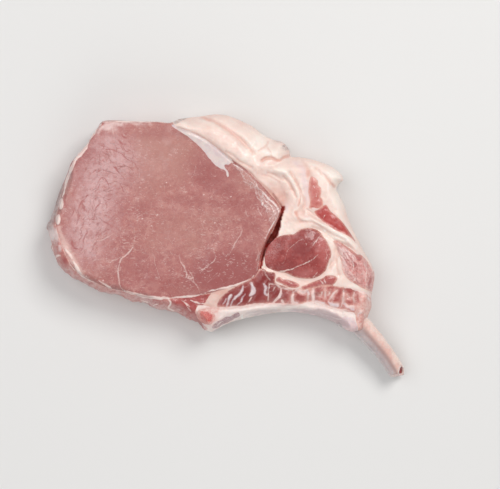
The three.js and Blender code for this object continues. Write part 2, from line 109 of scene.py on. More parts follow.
TUCK_REACH = 8  # how far in from the edge that is felt
SEAM_WIDTH = 0.7  # half the width of the groove along a seam
LOWER_RIM, LOWER_WIDTH = 0.45, 0.8  # how far the underside lifts at a piece's border, and how wide that is
PASSES = 4  # how often the cells inside a piece are evened out
HOLLOW_CELLS, HOLLOW_DEPTH = 3, 0.6  # a point this far below its surroundings counts as a full hollow
CELL = 0.5  # side of a cell of the sheet that the pieces are cut from
RIM_ROWS = 12  # rows of faces down the outside
AT_ONCE = 3_000_000  # distances worked out in one go
MANY = 10_000_000  # more than a piece has points


def smooth(points, closed=True, step=0.5):
    """Points close together along the smooth curve through a few."""
    p = np.array(points, float)
    if not closed:
        p = np.vstack([2 * p[:1] - p[1:2], p, 2 * p[-1:] - p[-2:-1]])
    run = []
    for i in range(len(p) if closed else len(p) - 3):
        a, b, c, d = (p[(i + k) % len(p)] for k in range(4))
        ta, tb, tc = (math.sqrt(math.dist(*pair)) for pair in ((a, b), (b, c), (c, d)))
        leave = ((b - a) / ta - (c - a) / (ta + tb) + (c - b) / tb) * tb
        arrive = ((c - b) / tb - (d - b) / (tb + tc) + (d - c) / tc) * tb
        t = np.linspace(0, 1, max(2, round(math.dist(b, c) / step)), endpoint=False)[:, None]
        square = (3 * (c - b) - 2 * leave - arrive) * t**2
        cube = (2 * (b - c) + leave + arrive) * t**3
        run.append(b + leave * t + square + cube)
    if not closed:
        run.append(p[-2:-1])
    return np.vstack(run)


def nearest(x, y, line, closed=False):
    """How far each place is from a close run of points, the place on it that is nearest, and the stretch it
    is in."""
    line = np.asarray(line, float)
    tree = kdtree.KDTree(len(line))
    for i, (px, py) in enumerate(line.tolist()):
        tree.insert((px, py, 0), i)
    tree.balance()
    places = np.column_stack([np.ravel(x), np.ravel(y)])
    at = np.array([tree.find((px, py, 0))[1] for px, py in places.tolist()], int)
    far, foot, stretch = np.full(len(places), np.inf), places.copy(), at.copy()
    last = len(line) if closed else len(line) - 1
    for begin in (at - 1, at):
        start = begin % len(line) if closed else np.clip(begin, 0, last - 1)
        a, ab = line[start], line[(start + 1) % len(line)] - line[start]
        t = np.clip(((places - a) * ab).sum(1) / np.maximum((ab * ab).sum(1), 1e-12), 0, 1)
        feet = a + t[:, None] * ab
        gap = np.hypot(*(places - feet).T)
        better = gap < far
        far[better], foot[better], stretch[better] = gap[better], feet[better], start[better]
    return far.reshape(np.shape(x)), foot, stretch


def inside(x, y, loop):
    """True where a place lies within a closed run of points."""
    within = np.zeros(np.shape(x), bool)
    for (ax, ay), (bx, by) in zip(loop, np.roll(loop, -1, axis=0)):
        if ay != by:
            within ^= ((ay > y) != (by > y)) & (x < (bx - ax) * (y - ay) / (by - ay) + ax)
    return within


def mound(far, width):
    """1 where far is 0, falling away softly over the width."""
    return np.exp(-((far / width) ** 2))


def ridge(x, y, line, width):
    """1 on the smooth line through a few points, falling away to its sides."""
    run = smooth(line, False, 0.5)
    low, high = run.min(0) - 3 * width, run.max(0) + 3 * width
    close = (x > low[0]) & (x < high[0]) & (y > low[1]) & (y < high[1])
    rise = np.zeros(np.shape(x))
    if close.any():
        rise[close] = mound(nearest(x[close], y[close], run)[0], width)
    return rise


def ease(value, low, high):
    """0 up to low and 1 from high on, with a soft change between them, or the other way round if low is
    higher."""
    t = np.clip((value - low) / (high - low), 0, 1)
    return t * t * (3 - 2 * t)


def swell(x, y, size, seed):
    """Soft random hills between -1 and 1, about as wide as size."""
    hills = np.random.default_rng(seed).uniform(-1, 1, (64, 64))
    u, v = x / size + 31.7, y / size + 29.3
    i, j = np.floor(u).astype(int), np.floor(v).astype(int)
    s, t = ease(u - i, 0, 1), ease(v - j, 0, 1)
    near, off = hills[j % 64, i % 64], hills[j % 64, (i + 1) % 64]
    near2, off2 = hills[(j + 1) % 64, i % 64], hills[(j + 1) % 64, (i + 1) % 64]
    return (near * (1 - s) + off * s) * (1 - t) + (near2 * (1 - s) + off2 * s) * t


meat_edge = smooth([point for _, _, points in EDGE for point in points], step=0.4)
torn_side = ease(meat_edge[:, 1], 20, 5) * ease(meat_edge[:, 0], -2, -10)
for axis, seed in ((0, 14), (1, 15)):
    shift = swell(*meat_edge.T, 1.3, seed) + swell(*meat_edge.T, 3.5, seed + 2)
    meat_edge[:, axis] += 0.3 * torn_side * shift
edge_stretches = [
    smooth(points + EDGE[(i + 1) % len(EDGE)][2][:1], False, 1) for i, (_, _, points) in enumerate(EDGE)
]


def share_out(values, fars, softness):
    """A mean of several values in which the nearer places count most."""
    weights = 1 / (np.array(fars) ** 2 + softness**2) ** 2
    return np.tensordot(np.array(values, float), weights, 1) / weights.sum(0)


def face_height(x, y):
    """Height of the upper face before each piece's own relief."""
    fars = [np.hypot(x - px, y - py) for (px, py), _ in SHARES]
    z = THICKNESS * share_out([share for _, share in SHARES], fars, softness=14)
    for rise, width, line in FOLDS:
        z += rise * ridge(x, y, line, width)
    z += 0.3 * swell(x, y, 9, 1) + 0.12 * swell(x, y, 3.5, 2)
    fars = [nearest(x, y, line)[0] for line in edge_stretches]
    roll = share_out([roll for roll, _, _ in EDGE], fars, softness=1)
    fall = share_out([fall for _, fall, _ in EDGE], fars, softness=1)
    far = nearest(x, y, meat_edge, True)[0]
    return z - fall * np.maximum(1 - far / roll, 0) ** 2


# The slice as a sheet of small square cells. Pieces are cut from it one after another, from the one that
# gives way nowhere to the fat, which takes all that is left, so neighbours share every point along their
# seam.
sheet_x, sheet_y = np.meshgrid(np.arange(-93, 93, CELL), np.arange(-47, 69, CELL))
cell_x, cell_y = sheet_x[:-1, :-1] + CELL / 2, sheet_y[:-1, :-1] + CELL / 2
meat_cells = inside(cell_x, cell_y, meat_edge)
free_cells = meat_cells.copy()
settled = np.zeros(sheet_x.shape, bool)


def touched(cells):
    """The sheet's points that these cells touch."""
    points = np.zeros(sheet_x.shape, bool)
    for rows in (slice(None, -1), slice(1, None)):
        for columns in (slice(None, -1), slice(1, None)):
            points[rows, columns] |= cells
    return points


def settle(cells, loop):
    """Moves the points along the border of the cells on to the smooth outline, for good, and evens out those
    inside."""
    border = touched(cells) & touched(~cells)
    moving = border & ~settled
    foot = nearest(sheet_x[moving], sheet_y[moving], loop, True)[1]
    sheet_x[moving], sheet_y[moving] = foot.T
    settled[border] = True
    within = touched(cells) & ~border
    for _ in range(PASSES):
        for sheet in (sheet_x, sheet_y):
            mean = sheet.copy()
            mean[1:-1, 1:-1] = (sheet[:-2, 1:-1] + sheet[2:, 1:-1] + sheet[1:-1, :-2] + sheet[1:-1, 2:]) / 4
            sheet[within] = mean[within]


settle(meat_cells, meat_edge)


def tucked(x, y, z):
    """Where the slice's lower rim draws in: places near the edge move inwards as they come near the
    ground."""
    far, foot, stretch = nearest(x, y, meat_edge, True)
    along = np.roll(meat_edge, -2, axis=0)[stretch] - np.roll(meat_edge, 1, axis=0)[stretch]
    inward = np.column_stack([along[:, 1], -along[:, 0]]) / np.hypot(*along.T)[:, None]
    away = np.column_stack([np.ravel(x), np.ravel(y)]) - foot
    inward = np.where(far[:, None] > 0.3, away / np.maximum(far, 1e-6)[:, None], inward)
    low = np.clip(1 - np.ravel(z) / TUCK_HEIGHT, 0, 1)
    pull = TUCK * (1 - np.sqrt(1 - low**2)) * np.maximum(1 - np.ravel(far) / TUCK_REACH, 0) ** 2
    return np.column_stack([np.ravel(x), np.ravel(y)]) + inward * pull[:, None]


class Piece:
    """One piece of the slice. object is its mesh. Each point of it lies at x and y in the slice, far from the
    piece's border and edge from the slice's own, and side is 1 half way down the outside and 0 on both
    faces."""


def smooth_object(name, points, faces):
    """An object whose smooth mesh has these points, given in the slice's millimetres."""
    mesh = bpy.data.meshes.new(name)
    mesh.from_pydata(((points - [*MIDDLE, 0]) / 1000).tolist(), [], faces)
    mesh.polygons.foreach_set("use_smooth", [True] * len(faces))
    made = bpy.data.objects.new(name, mesh)
    bpy.context.collection.objects.link(made)
    return made


def seam_depth(x, y):
    """How deep the groove along a seam is; round the marrow and along the rib there is next to none."""
    along_rib = ridge(x, y, [(0, -31), (12.5, -29.6), (27.5, -29.2), (44, -27.9), (64.5, -33.5)], 1)
    return 0.05 - 0.04 * np.maximum(mound(np.hypot(x + 9.6, y + 35.3), 6), along_rib)


def blurred(sheet, reach):
    """Each point's sum with its neighbours in a square round it."""
    size = 2 * reach + 1
    sums = np.cumsum(np.cumsum(np.pad(sheet, ((size, reach), (size, reach))), axis=0), axis=1)
    return (
        sums[size:, size:] - sums[:-size, size:] - sums[size:, :-size] + sums[:-size, :-size]
    )[reach:, reach:]


def plump(rise, reach, *lumps):
    """The relief of a piece that swells up from its border, with soft lumps, as how high, how wide and a
    seed."""

    def relief(x, y, far):
        return rise * ease(far, 0, reach) + sum(high * swell(x, y, size, seed) for high, size, seed in lumps)

    return relief


def cut_piece(name, outline, relief=None, sunk=None):
    """Cuts a piece out of what is left of the slice. relief(x, y, far) adds to its upper face, far from its
    border, and sunk gives the height of a floor at a place, and the outline in which the face lies that
    low."""
    global free_cells
    loop = smooth(outline) if outline is not None else meat_edge
    cells = free_cells & inside(cell_x, cell_y, loop)
    free_cells = free_cells & ~cells
    settle(cells, loop)
    used = touched(cells)
    number = np.full(sheet_x.shape, -1)
    number[used] = np.arange(used.sum())
    x, y = sheet_x[used], sheet_y[used]
    rim = used & touched(~meat_cells)
    border = used & touched(~cells)
    ends = np.column_stack([sheet_x[border], sheet_y[border]])
    far = np.empty(len(x))
    lot = max(1, AT_ONCE // len(ends))
    for start in range(0, len(x), lot):
        part = slice(start, start + lot)
        far[part] = np.sqrt(((x[part, None] - ends[:, 0]) ** 2 + (y[part, None] - ends[:, 1]) ** 2).min(1))
    z = face_height(x, y) - seam_depth(x, y) * mound(far, SEAM_WIDTH)
    if relief:
        z += relief(x, y, far) * ease(far, 0, 1.5)
    if sunk is not None:
        gap = nearest(x, y, sunk[1], True)[0]
        z = np.where(inside(x, y, sunk[1]) | (gap < 0.2), sunk[0](x, y), z)
    count = len(x)
    low = LOWER_RIM * mound(far, LOWER_WIDTH)
    bottom = tucked(x, y, np.zeros(count))
    points = [np.column_stack([x, y, z]), np.column_stack([bottom, low])]

    corner = [number[:-1, :-1][cells], number[:-1, 1:][cells], number[1:, 1:][cells], number[1:, :-1][cells]]
    faces = np.column_stack(corner).tolist()
    faces += (np.column_stack(corner[::-1]) + count).tolist()

    # points down the outside, between the upper and the lower sheet
    rim_at = number[rim]
    share = np.linspace(0, 1, RIM_ROWS + 1)[1:-1]
    rim_x, rim_y = np.repeat(x[rim_at], len(share)), np.repeat(y[rim_at], len(share))
    rim_share = np.tile(share, len(rim_at))
    top, foot = (np.repeat(height[rim_at], len(share)) for height in (z, low))
    rim_z = top * (1 - rim_share) + foot * rim_share
    wall = tucked(rim_x, rim_y, rim_z)
    foot = tucked(rim_x, rim_y, np.zeros(len(rim_x)))
    outward = np.column_stack([rim_x, rim_y]) - foot
    outward /= np.maximum(np.hypot(*outward.T), 1e-6)[:, None]
    lumps = 0.35 * swell(rim_x + rim_y, rim_z, 3, 5) + 0.25 * swell(rim_x - rim_y, rim_z, 6, 6)
    push = (lumps - 0.35) * np.sin(np.pi * rim_share) ** 0.7
    points.append(np.column_stack([wall + outward * push[:, None], rim_z]))
    column = {
        at: [at, *range(2 * count + k * len(share), 2 * count + (k + 1) * len(share)), at + count]
        for k, at in enumerate(rim_at.tolist())
    }
    seams = []
    beside = {(0, -1): (0, 1), (1, 0): (1, 2), (0, 1): (2, 3), (-1, 0): (3, 0)}
    rows, columns = np.nonzero(cells)
    corner = np.column_stack(corner)
    for (across, up), (first, second) in beside.items():
        other_row = np.clip(rows + up, 0, cells.shape[0] - 1)
        other_column = np.clip(columns + across, 0, cells.shape[1] - 1)
        open_side = ~cells[other_row, other_column]
        outer = open_side & ~meat_cells[other_row, other_column]
        for a, b in corner[outer][:, [first, second]].tolist():
            down_a, down_b = column[a], column[b]
            faces += [[down_b[k], down_a[k], down_a[k + 1], down_b[k + 1]] for k in range(RIM_ROWS)]
        for a, b in corner[open_side & ~outer][:, [first, second]].tolist():
            down_a, down_b = column.get(a, [a, a + count]), column.get(b, [b, b + count])
            faces.append(down_a + down_b[::-1])
            seams += [(a, b), (a + count, b + count)]

    piece = Piece()
    piece.object = smooth_object("raw_" + name, np.vstack(points), faces)
    mesh = piece.object.data
    ends = np.empty(2 * len(mesh.edges), int)
    mesh.edges.foreach_get("vertices", ends)
    ends = np.sort(ends.reshape(-1, 2), axis=1) @ [MANY, 1]
    seams = np.sort(np.array(seams).reshape(-1, 2), axis=1) @ [MANY, 1]
    mesh.attributes.new("sharp_edge", "BOOLEAN", "EDGE").data.foreach_set("value", np.isin(ends, seams))
    # finishes are painted by place; down the sides and underneath the flesh has wandered a little
    depth = np.concatenate([np.zeros(count), np.ones(count), rim_share])
    piece.x = np.concatenate([x, x, rim_x])
    piece.y = np.concatenate([y, y, rim_y])
    wander = [2.2 * depth * swell(piece.x, piece.y, 15, seed) for seed in (8, 9)]
    piece.x, piece.y = piece.x + wander[0], piece.y + wander[1]
    # painted shade: how far each point lies below its neighbours, so that its finish darkens it there as
    # shade
    heights, weights = np.zeros(sheet_x.shape), used * 1.0
    heights[used] = z
    around = blurred(heights, HOLLOW_CELLS)[used] / blurred(weights, HOLLOW_CELLS)[used]
    hollow = (around - z) / HOLLOW_DEPTH
    piece.far = np.concatenate([far, far, np.zeros(len(rim_x))])
    piece.edge = nearest(piece.x, piece.y, meat_edge, True)[0]
    hollow = np.concatenate([hollow, 0.4 * hollow, 0 * rim_x]) * ease(piece.edge, 0.5, 3)
    piece.side = np.concatenate([np.zeros(2 * count), np.sin(np.pi * rim_share) ** 0.5])
    # the hollows get painted shade, and on the fat whatever stands above its neighbours gets a painted
    # highlight
    paint(
        piece, hollow=hollow, proud=-hollow, side=piece.side,
        rim=1 - piece.far / 2 - 0.4 * ease(piece.edge, 1.5, 0)
    )
    return piece


def paint(piece, **masks):
    """Stores where finishes show on a piece, each as a number from 0 to 1 for every point, or one for all."""
    mesh = getattr(piece, "object", piece).data
    for name, values in masks.items():
        values = np.broadcast_to(np.clip(values, 0, 1), len(mesh.vertices)).astype(np.float32)
        mesh.attributes.new(name, "FLOAT", "POINT").data.foreach_set("value", values)


def lines(piece, drawn, reach=0.9):
    """0.5 at the sides of thin lines, each given as its half width and its points, and more within; they
    taper."""
    mask = np.zeros(len(piece.x))
    for width, points in drawn:
        run = smooth(points, False, 0.5)
        low, high = run.min(0) - 3, run.max(0) + 3
        close = (piece.x > low[0]) & (piece.x < high[0]) & (piece.y > low[1]) & (piece.y < high[1])
        if not close.any():
            continue
        x, y = piece.x[close], piece.y[close]
        far, _, stretch = nearest(x + 0.3 * swell(x, y, 1.8, 11), y + 0.3 * swell(x, y, 1.8, 12), run)
        thin = width * (0.55 + 0.6 * np.sin(np.pi * stretch / len(run)) + 0.35 * swell(x, y, 2.2, 13))
        mask[close] = np.maximum(mask[close], 0.5 + (thin - far) / (2 * reach))
    return np.clip(mask, 0, 1) * (1 - 0.85 * ease(piece.side, 0, 0.7))


def patch(piece, outline, soft=1.0, wander=0.0):
    """1 within an outline, fading out across its border, where it is 0.5."""
    loop = smooth(outline, step=1)
    x = piece.x + wander * swell(piece.x, piece.y, 2.2, 21)
    y = piece.y + wander * swell(piece.x, piece.y, 2.2, 22)
    far = nearest(x, y, loop, True)[0]
    return ease(np.where(inside(x, y, loop), far, -far), -soft, soft)


def spots(piece, rounds):
    """Soft round areas, each given as its middle, its two half widths and its strength."""
    mask = np.zeros(len(piece.x))
    for px, py, wide, high, strength in rounds:
        mask += strength * np.exp(-(((piece.x - px) / wide) ** 2) - ((piece.y - py) / high) ** 2)
    return mask


def add(tree, kind, feed=(), **settings):
    """A node with its settings made and its inputs set or linked."""
    made = tree.nodes.new("ShaderNode" + kind)
    for name, value in settings.items():
        setattr(made, name, value)
    for socket, value in dict(feed).items():
        if isinstance(value, bpy.types.NodeSocket):
            tree.links.new(value, made.inputs[socket])
        else:
            made.inputs[socket].default_value = value
    return made


def sums(tree, operation, a, b=0.0):
    """A sum of two values, or a difference or a quotient, as a node."""
    return add(tree, "Math", {0: a, 1: b}, operation=operation).outputs[0]


def times(tree, a, b):
    return sums(tree, "MULTIPLY", a, b)


def between(tree, value, low, high, start=0.0, end=1.0):
    """value from low to high, softly spread over start to end."""
    feed = {"Value": value, "From Min": low, "From Max": high, "To Min": start, "To Max": end}
    return add(tree, "MapRange", feed, interpolation_type="SMOOTHSTEP").outputs[0]


def over(tree, mask, under, colour):
    """colour laid over what is under it where the mask is 1."""
    sockets = add(tree, "Mix", data_type="RGBA", clamp_factor=True)
    for at, value in ((0, mask), (6, under), (7, colour)):
        if isinstance(value, bpy.types.NodeSocket):
            tree.links.new(value, sockets.inputs[at])
        else:
            sockets.inputs[at].default_value = value if at == 0 else (*value, 1)
    return sockets.outputs[2]


def shown(tree, name, strength=1.0):
    """A painted area with its own soft border."""
    area = add(tree, "Attribute", attribute_name=name).outputs["Fac"]
    return area if strength == 1 else times(tree, area, strength)


def group(name, inputs, outputs):
    """An empty node group with these named values going in and out, and its two end nodes."""
    tree = bpy.data.node_groups.new(name, "ShaderNodeTree")
    for label, value in inputs.items():
        tree.interface.new_socket(label, in_out="INPUT", socket_type="NodeSocketFloat").default_value = value
    for label in outputs:
        tree.interface.new_socket(label, in_out="OUTPUT", socket_type="NodeSocketFloat")
    return tree, tree.nodes.new("NodeGroupInput").outputs, tree.nodes.new("NodeGroupOutput").inputs


def use(tree, made, **values):
    """Places a node group in a material with its own values, and gives its outputs."""
    placed = tree.nodes.new("ShaderNodeGroup")
    placed.node_tree = made
    for name, value in values.items():
        socket = placed.inputs[name.replace("_", " ")]
        if isinstance(value, bpy.types.NodeSocket):
            tree.links.new(value, socket)
        else:
            socket.default_value = value
    return placed.outputs


def torn(tree, name, strength=1.0, wander=0.35, size=0.8, soft=0.1):
    """A painted area with a ragged border."""
    area = use(tree, ragging, Mask=shown(tree, name), Size=size, Wander=wander, Soft=soft)["Mask"]
    return times(tree, area, strength)


def laid(tree, colour, *coats):
    """Colours laid over one another where they are painted, each as the paint's name, its strength and the
    colour, and where its border is ragged, how far that wanders, how wide its waves are and how soft it
    is."""
    for name, strength, tone, *border in coats:
        mask = torn(tree, name, strength, *border) if border else shown(tree, name, strength)
        colour = over(tree, mask, colour, tone)
    return colour


def slice_place(tree, upright):
    """A place in the slice in millimetres, squeezed upright so that a pattern runs down through the flesh."""
    place = add(tree, "TexCoord").outputs["Object"]
    return add(
        tree, "VectorMath", {0: place, 1: (1000, 1000, 1000 * upright)}, operation="MULTIPLY"
    ).outputs[0]


# soft clouds, for colour that comes and goes
clouding, given, result = group("clouding", {"Size": 10, "Detail": 3}, ["Cloud"])
noise = add(clouding, "TexNoise", {
    "Vector": slice_place(clouding, 0.6), "Scale": sums(clouding, "DIVIDE", 1.0, given["Size"]),
    "Detail": given["Detail"], "Roughness": 0.55})
clouding.links.new(between(clouding, noise.outputs[0], 0.3, 0.7), result["Cloud"])


def cloudy(tree, size, detail):
    return use(tree, clouding, Size=size, Detail=detail)["Cloud"]


# a painted area's border made ragged: the mask is cut off at half, moved to and fro by fine noise
ragging, given, result = group(
    "ragged border", {"Mask": 0, "Size": 0.8, "Wander": 0.35, "Soft": 0.1}, ["Mask"]
)
noise = add(ragging, "TexNoise", {
    "Vector": slice_place(ragging, 0.4), "Scale": sums(ragging, "DIVIDE", 1.0, given["Size"]), "Detail": 4,
    "Roughness": 0.6})
noise = times(ragging, sums(ragging, "SUBTRACT", noise.outputs[0], 0.5), given["Wander"])
low = sums(ragging, "SUBTRACT", 0.5, given["Soft"])
high = sums(ragging, "ADD", 0.5, given["Soft"])
feed = {"Value": sums(ragging, "ADD", given["Mask"], noise), "From Min": low, "From Max": high}
ragged = add(ragging, "MapRange", feed, interpolation_type="SMOOTHSTEP").outputs[0]
ragging.links.new(times(ragging, ragged, sums(ragging, "GREATER_THAN", given["Mask"], 0.01)), result["Mask"])

# the uneven wet film that lies on everything: how rough it is, and how much it shines
wetting, given, result = group("wet film", {"Size": 4}, ["Dullness", "Film", "Height"])
place = slice_place(wetting, 1)
scale = sums(wetting, "DIVIDE", 1.0, given["Size"])
wide = add(wetting, "TexNoise", {"Vector": place, "Scale": scale, "Detail": 4, "Roughness": 0.6}).outputs[0]
fine = add(wetting, "TexNoise", {"Vector": place, "Scale": times(wetting, scale, 5.0), "Detail": 3})
wetting.links.new(between(wetting, wide, 0.3, 0.75), result["Dullness"])
wetting.links.new(between(wetting, wide, 0.62, 0.4), result["Film"])
wetting.links.new(fine.outputs[0], result["Height"])


def finish(name, build, shade, rough=(0.32, 0.5), coat=(0.0, 0.35), bump=0.08, **constants):
    """A raw, wet material. build(tree) gives its colour and the height of its fine relief in millimetres, and
    shade is the colour of the painted shade laid in its hollows."""
    material = bpy.data.materials.new(name)
    material.use_nodes = True
    tree = material.node_tree
    shader = tree.nodes["Principled BSDF"]
    colour, height = build(tree)
    # painted shade: the hollows are darkened towards the shade colour
    colour = over(tree, shown(tree, "hollow", 0.4), colour, shade)
    wet = use(tree, wetting, Size=4.0)
    height = sums(tree, "ADD", height, times(tree, wet["Height"], bump))
    relief = add(tree, "Bump", {"Height": times(tree, height, 0.001), "Distance": 1.0, "Strength": 1.0})
    tree.links.new(colour, shader.inputs["Base Color"])
    tree.links.new(between(tree, wet["Dullness"], 0.0, 1.0, *rough), shader.inputs["Roughness"])
    tree.links.new(between(tree, wet["Film"], 0.0, 1.0, *coat), shader.inputs["Coat Weight"])
    tree.links.new(relief.outputs[0], shader.inputs["Normal"])
    for socket, value in constants.items():
        shader.inputs[socket.replace("_", " ")].default_value = value
    return material


def done(piece, material):
    """Gives a piece its finish and hands it over in place of the solid it is named after."""
    made = getattr(piece, "object", piece)
    made.data.materials.append(material)
    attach(made, "root")
    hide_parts(made.name.removeprefix("raw_"))


# the red marrow in the round head of the rib, a soft sponge of small red and pale cells
head_round = [
    (-13.5, -32.5), (-11, -31.2), (-8.5, -31.4), (-6, -32.8), (-4.8, -35), (-5.2, -37.2), (-7, -39),
    (-9.8, -39), (-12.2, -37.8), (-14, -35.2)
]
head_marrow = cut_piece("head_marrow", head_round, plump(0.4, 3, (0.4, 1.1, 31)))


def marrow_look(tree):
    cells = add(
        tree, "TexVoronoi", {"Vector": slice_place(tree, 0.7), "Scale": 1.1}, feature="DISTANCE_TO_EDGE"
    )
    walls = between(tree, cells.outputs["Distance"], 0.16, 0.02)
    cloud = cloudy(tree, 1.8, 4.0)
    colour = over(tree, cloud, (0.53, 0.062, 0.06), (0.72, 0.17, 0.14))
    colour = over(tree, times(tree, walls, 0.3), colour, (0.85, 0.5, 0.44))
    rim = use(tree, ragging, Mask=sums(tree, "ADD", shown(tree, "rim"), 0.12), Size=1.2, Wander=1.1, Soft=0.4)
    pale = over(tree, cloud, (0.7, 0.33, 0.28), (0.84, 0.6, 0.54))
    colour = over(tree, times(tree, rim["Mask"], 0.85), colour, pale)
    return colour, times(tree, walls, 0.15)


MEAT_GLOW = {"Subsurface_Weight": 0.15, "Subsurface_Radius": (1.0, 0.35, 0.28), "Subsurface_Scale": 0.001}
PALE_GLOW = {"Subsurface_Weight": 0.25, "Subsurface_Radius": (1.0, 0.6, 0.45), "Subsurface_Scale": 0.0014}
# the third value of each finish is the colour of its painted shade in the hollows
marrow = finish("red marrow", marrow_look, (0.6, 0.12, 0.1), rough=(0.35, 0.55), **MEAT_GLOW)
done(head_marrow, marrow)

# the bone inside the flesh, with the lining of the rib cage over its inner side
bone_run = [
    (-14.5, -32.5), (-13.5, -30), (-10.5, -29.6), (-5.5, -30.6), (7.5, -30.6), (12.5, -29.6), (20, -28.9),
    (33, -29.6), (38, -28.9), (44, -27.9), (49, -29.2), (60, -32.6), (64.5, -33.5), (65.5, -37.5),
    (66.5, -42), (65, -46), (57, -46), (45, -40), (30, -38), (15, -40), (2, -44), (-6, -48), (-10, -46),
    (-11, -40), (-13.5, -36)
]
LINING_EDGE = [(37.5, -32), (44, -33), (57.5, -36.5), (64.5, -37), (66, -41)]


def bone_relief(x, y, far):
    z = 0.3 * ridge(x, y, LINING_EDGE, 0.5) + 0.7 * ridge(x, y, [(8.2, -33.6), (8, -36), (9, -37.5)], 0.6)
    z += 0.5 * ridge(x, y, [(0, -32.4), (24, -30.8), (36, -31)], 1.2)
    return z + 0.3 * swell(x, y, 2.2, 32) + 0.15 * swell(x, y, 0.9, 33)


rib_bone = cut_piece("rib_bone", bone_run, bone_relief)
paint(
    rib_bone,
    inner=patch(rib_bone, [
        (34, -31.6), (46, -32.5), (56, -35), (64, -36.2), (66, -41), (66, -47), (44, -43), (30, -36)
    ], 1, 0.6)
    + 0.3 * rib_bone.side * (rib_bone.x > 12),
    bare=patch(rib_bone, [
        (7, -33), (7.8, -35), (0.5, -38.2), (-3, -40.5), (-6, -41.5), (-6.5, -40.5), (-2, -37), (5, -33.8)
    ], 0.9, 0.5) * (1 - 0.45 * rib_bone.side),
    # pale streaks on the bone; the same paint is a painted highlight along the scraped end's upper right side
    lit=lines(rib_bone, [
        (0.45, [(8.6, -33.2), (8.4, -36.5)]), (0.12, LINING_EDGE[1:-1]), (0.2, [(-4, -39.6), (-1, -37.6)])
    ]),
    # lilac brown lines on the lining; the wide first one is a darker band of painted shade over the lining
    stripe=lines(rib_bone, [
        (2.2, [(42.5, -32.8), (47.5, -33.7), (61, -38.8)]),
        (0.5, [(10.5, -33.8), (15, -32.8), (27.5, -32.2)]),
        (0.4, [(12.5, -34.8), (18.5, -33.6), (24.5, -33)]),
        (0.5, [(31.5, -32.2), (36.5, -31.9), (47.5, -33.8)]),
        (0.5, [(50.5, -34), (55.5, -35.8), (60.5, -36.5)])
    ]),
    flesh=spots(rib_bone, [
        (-12, -40, 1.6, 2.6, 1.2), (-10.5, -41.5, 1.8, 1.2, 1), (-5.5, -32.6, 3, 1.2, 0.35),
        (-9, -31, 3, 0.8, 0.5), (-15, -35, 0.8, 3, 0.5)
    ]),
    salmon=spots(rib_bone, [(-9.6, -35.2, 6.6, 5.8, 1), (-15, -36, 2, 4, 0.4), (-6.5, -31.6, 3.4, 1.6, 0.7)])
    + lines(rib_bone, [(0.1, [
        (-4, -30.8), (2.5, -31), (20, -29), (33, -29.7), (44, -28.2), (49, -29.5), (60, -32.8), (64, -33.6)
    ])], 1.2),
    arc=lines(rib_bone, [(0.4, [(-14.8, -31.8), (-15.2, -34), (-14.2, -36.5), (-10, -39.8)])]),
)

# the scraped part: places along its middle line, as place, height of the middle, half width and half height
STATIONS = np.array([
    (58, -35.5, 10, 4.6, 5.6), (63.5, -37.4, 10, 5, 5.8), (68, -39.9, 10, 5.3, 5.9),
    (72.2, -44.3, 9.8, 4.9, 5.7), (76.5, -49.2, 9.4, 4.7, 5.5), (80.2, -53.7, 8.8, 4.5, 5.2),
    (83.4, -58.4, 8.1, 4.35, 5), (86.4, -63.2, 7.4, 4.3, 5), (89.5, -68, 6.8, 4.3, 5),
])
# where the saw and a slip of it ended the bone: a place on each cut, and which way the cut faces
SAW_CUTS = [
    (np.array([85, -65.3, 8]), np.array([0.2, -0.96, 0.2])),
    (np.array([88.3, -62.6, 9]), np.array([0.88, -0.24, 0.41]))
]
run = smooth(STATIONS, False, 0.4)
AROUND = 72  # points round the bone
DEEP = 38  # rings of the hollow that are made, in from the sawn end
angle = np.linspace(0, math.tau, AROUND, endpoint=False)
along = np.gradient(run[:, :2], axis=0)
along /= np.hypot(*along.T)[:, None]
across = np.column_stack([-along[:, 1], along[:, 0]])


def bone_skin(half=None, aside=0.0):
    """Points round the bone at every place of its run, or round a core of it that runs nearer to one side."""
    if half:
        wide, high = half
        size, knots = 1 + 0.04 * np.sin(3 * angle + 1), 0
    else:
        wide, high = run[:, 3, None], run[:, 4, None]
        size = 1 - 0.08 * mound(angle - 1.7, 0.45) - 0.05 * mound(angle - 5.1, 0.5)
        size = size + 0.03 * mound(angle - 1.15, 0.4) + 0.04 * mound(angle - 2.45, 0.35)
        length = np.arange(len(run))[:, None] * 0.4 + 0 * angle
        knots = 0.1 * swell(length, angle * 4, 5, 41) + 0.08 * swell(length, angle * 4, 1.2, 42)
    side = (wide * size + knots) * np.cos(angle) + aside
    rise = (high * size + knots) * np.sin(angle) + 0 * run[:, :1]
    flat = run[:, None, :2] + across[:, None] * (side + 0 * rise)[..., None]
    return np.dstack([flat, run[:, None, 2] + rise])


def sawn(skin, back=0.0):
    """The same points, with each line along the bone ended where the saw went, or a little further back."""
    ended = np.empty_like(skin)
    for k in range(AROUND):
        past = np.max([(skin[:, k] - place) @ facing for place, facing in SAW_CUTS], axis=0) + back
        stop = np.argmax(past > 0)
        stop = stop - 1 + past[stop - 1] / (past[stop - 1] - past[stop])
        at = np.linspace(0, stop, len(skin))
        for axis in range(3):
            ended[:, k, axis] = np.interp(at, np.arange(len(skin)), skin[:, k, axis])
    return ended


def skin_mesh(rings):
    """A closed mesh through rings of points, from the first ring's middle to the last one's."""
    rings = np.array(rings)
    count = len(rings) * AROUND
    points = np.vstack([rings.reshape(-1, 3), rings[0].mean(0), rings[-1].mean(0)])
    faces = []
    for r in range(len(rings) - 1):
        for k in range(AROUND):
            a, b = r * AROUND + k, r * AROUND + (k + 1) % AROUND
            faces.append([a, b, b + AROUND, a + AROUND])
    last = (len(rings) - 1) * AROUND
    for k in range(AROUND):
        faces.append([(k + 1) % AROUND, k, count])
        faces.append([last + k, last + (k + 1) % AROUND, count + 1])
    return points, faces


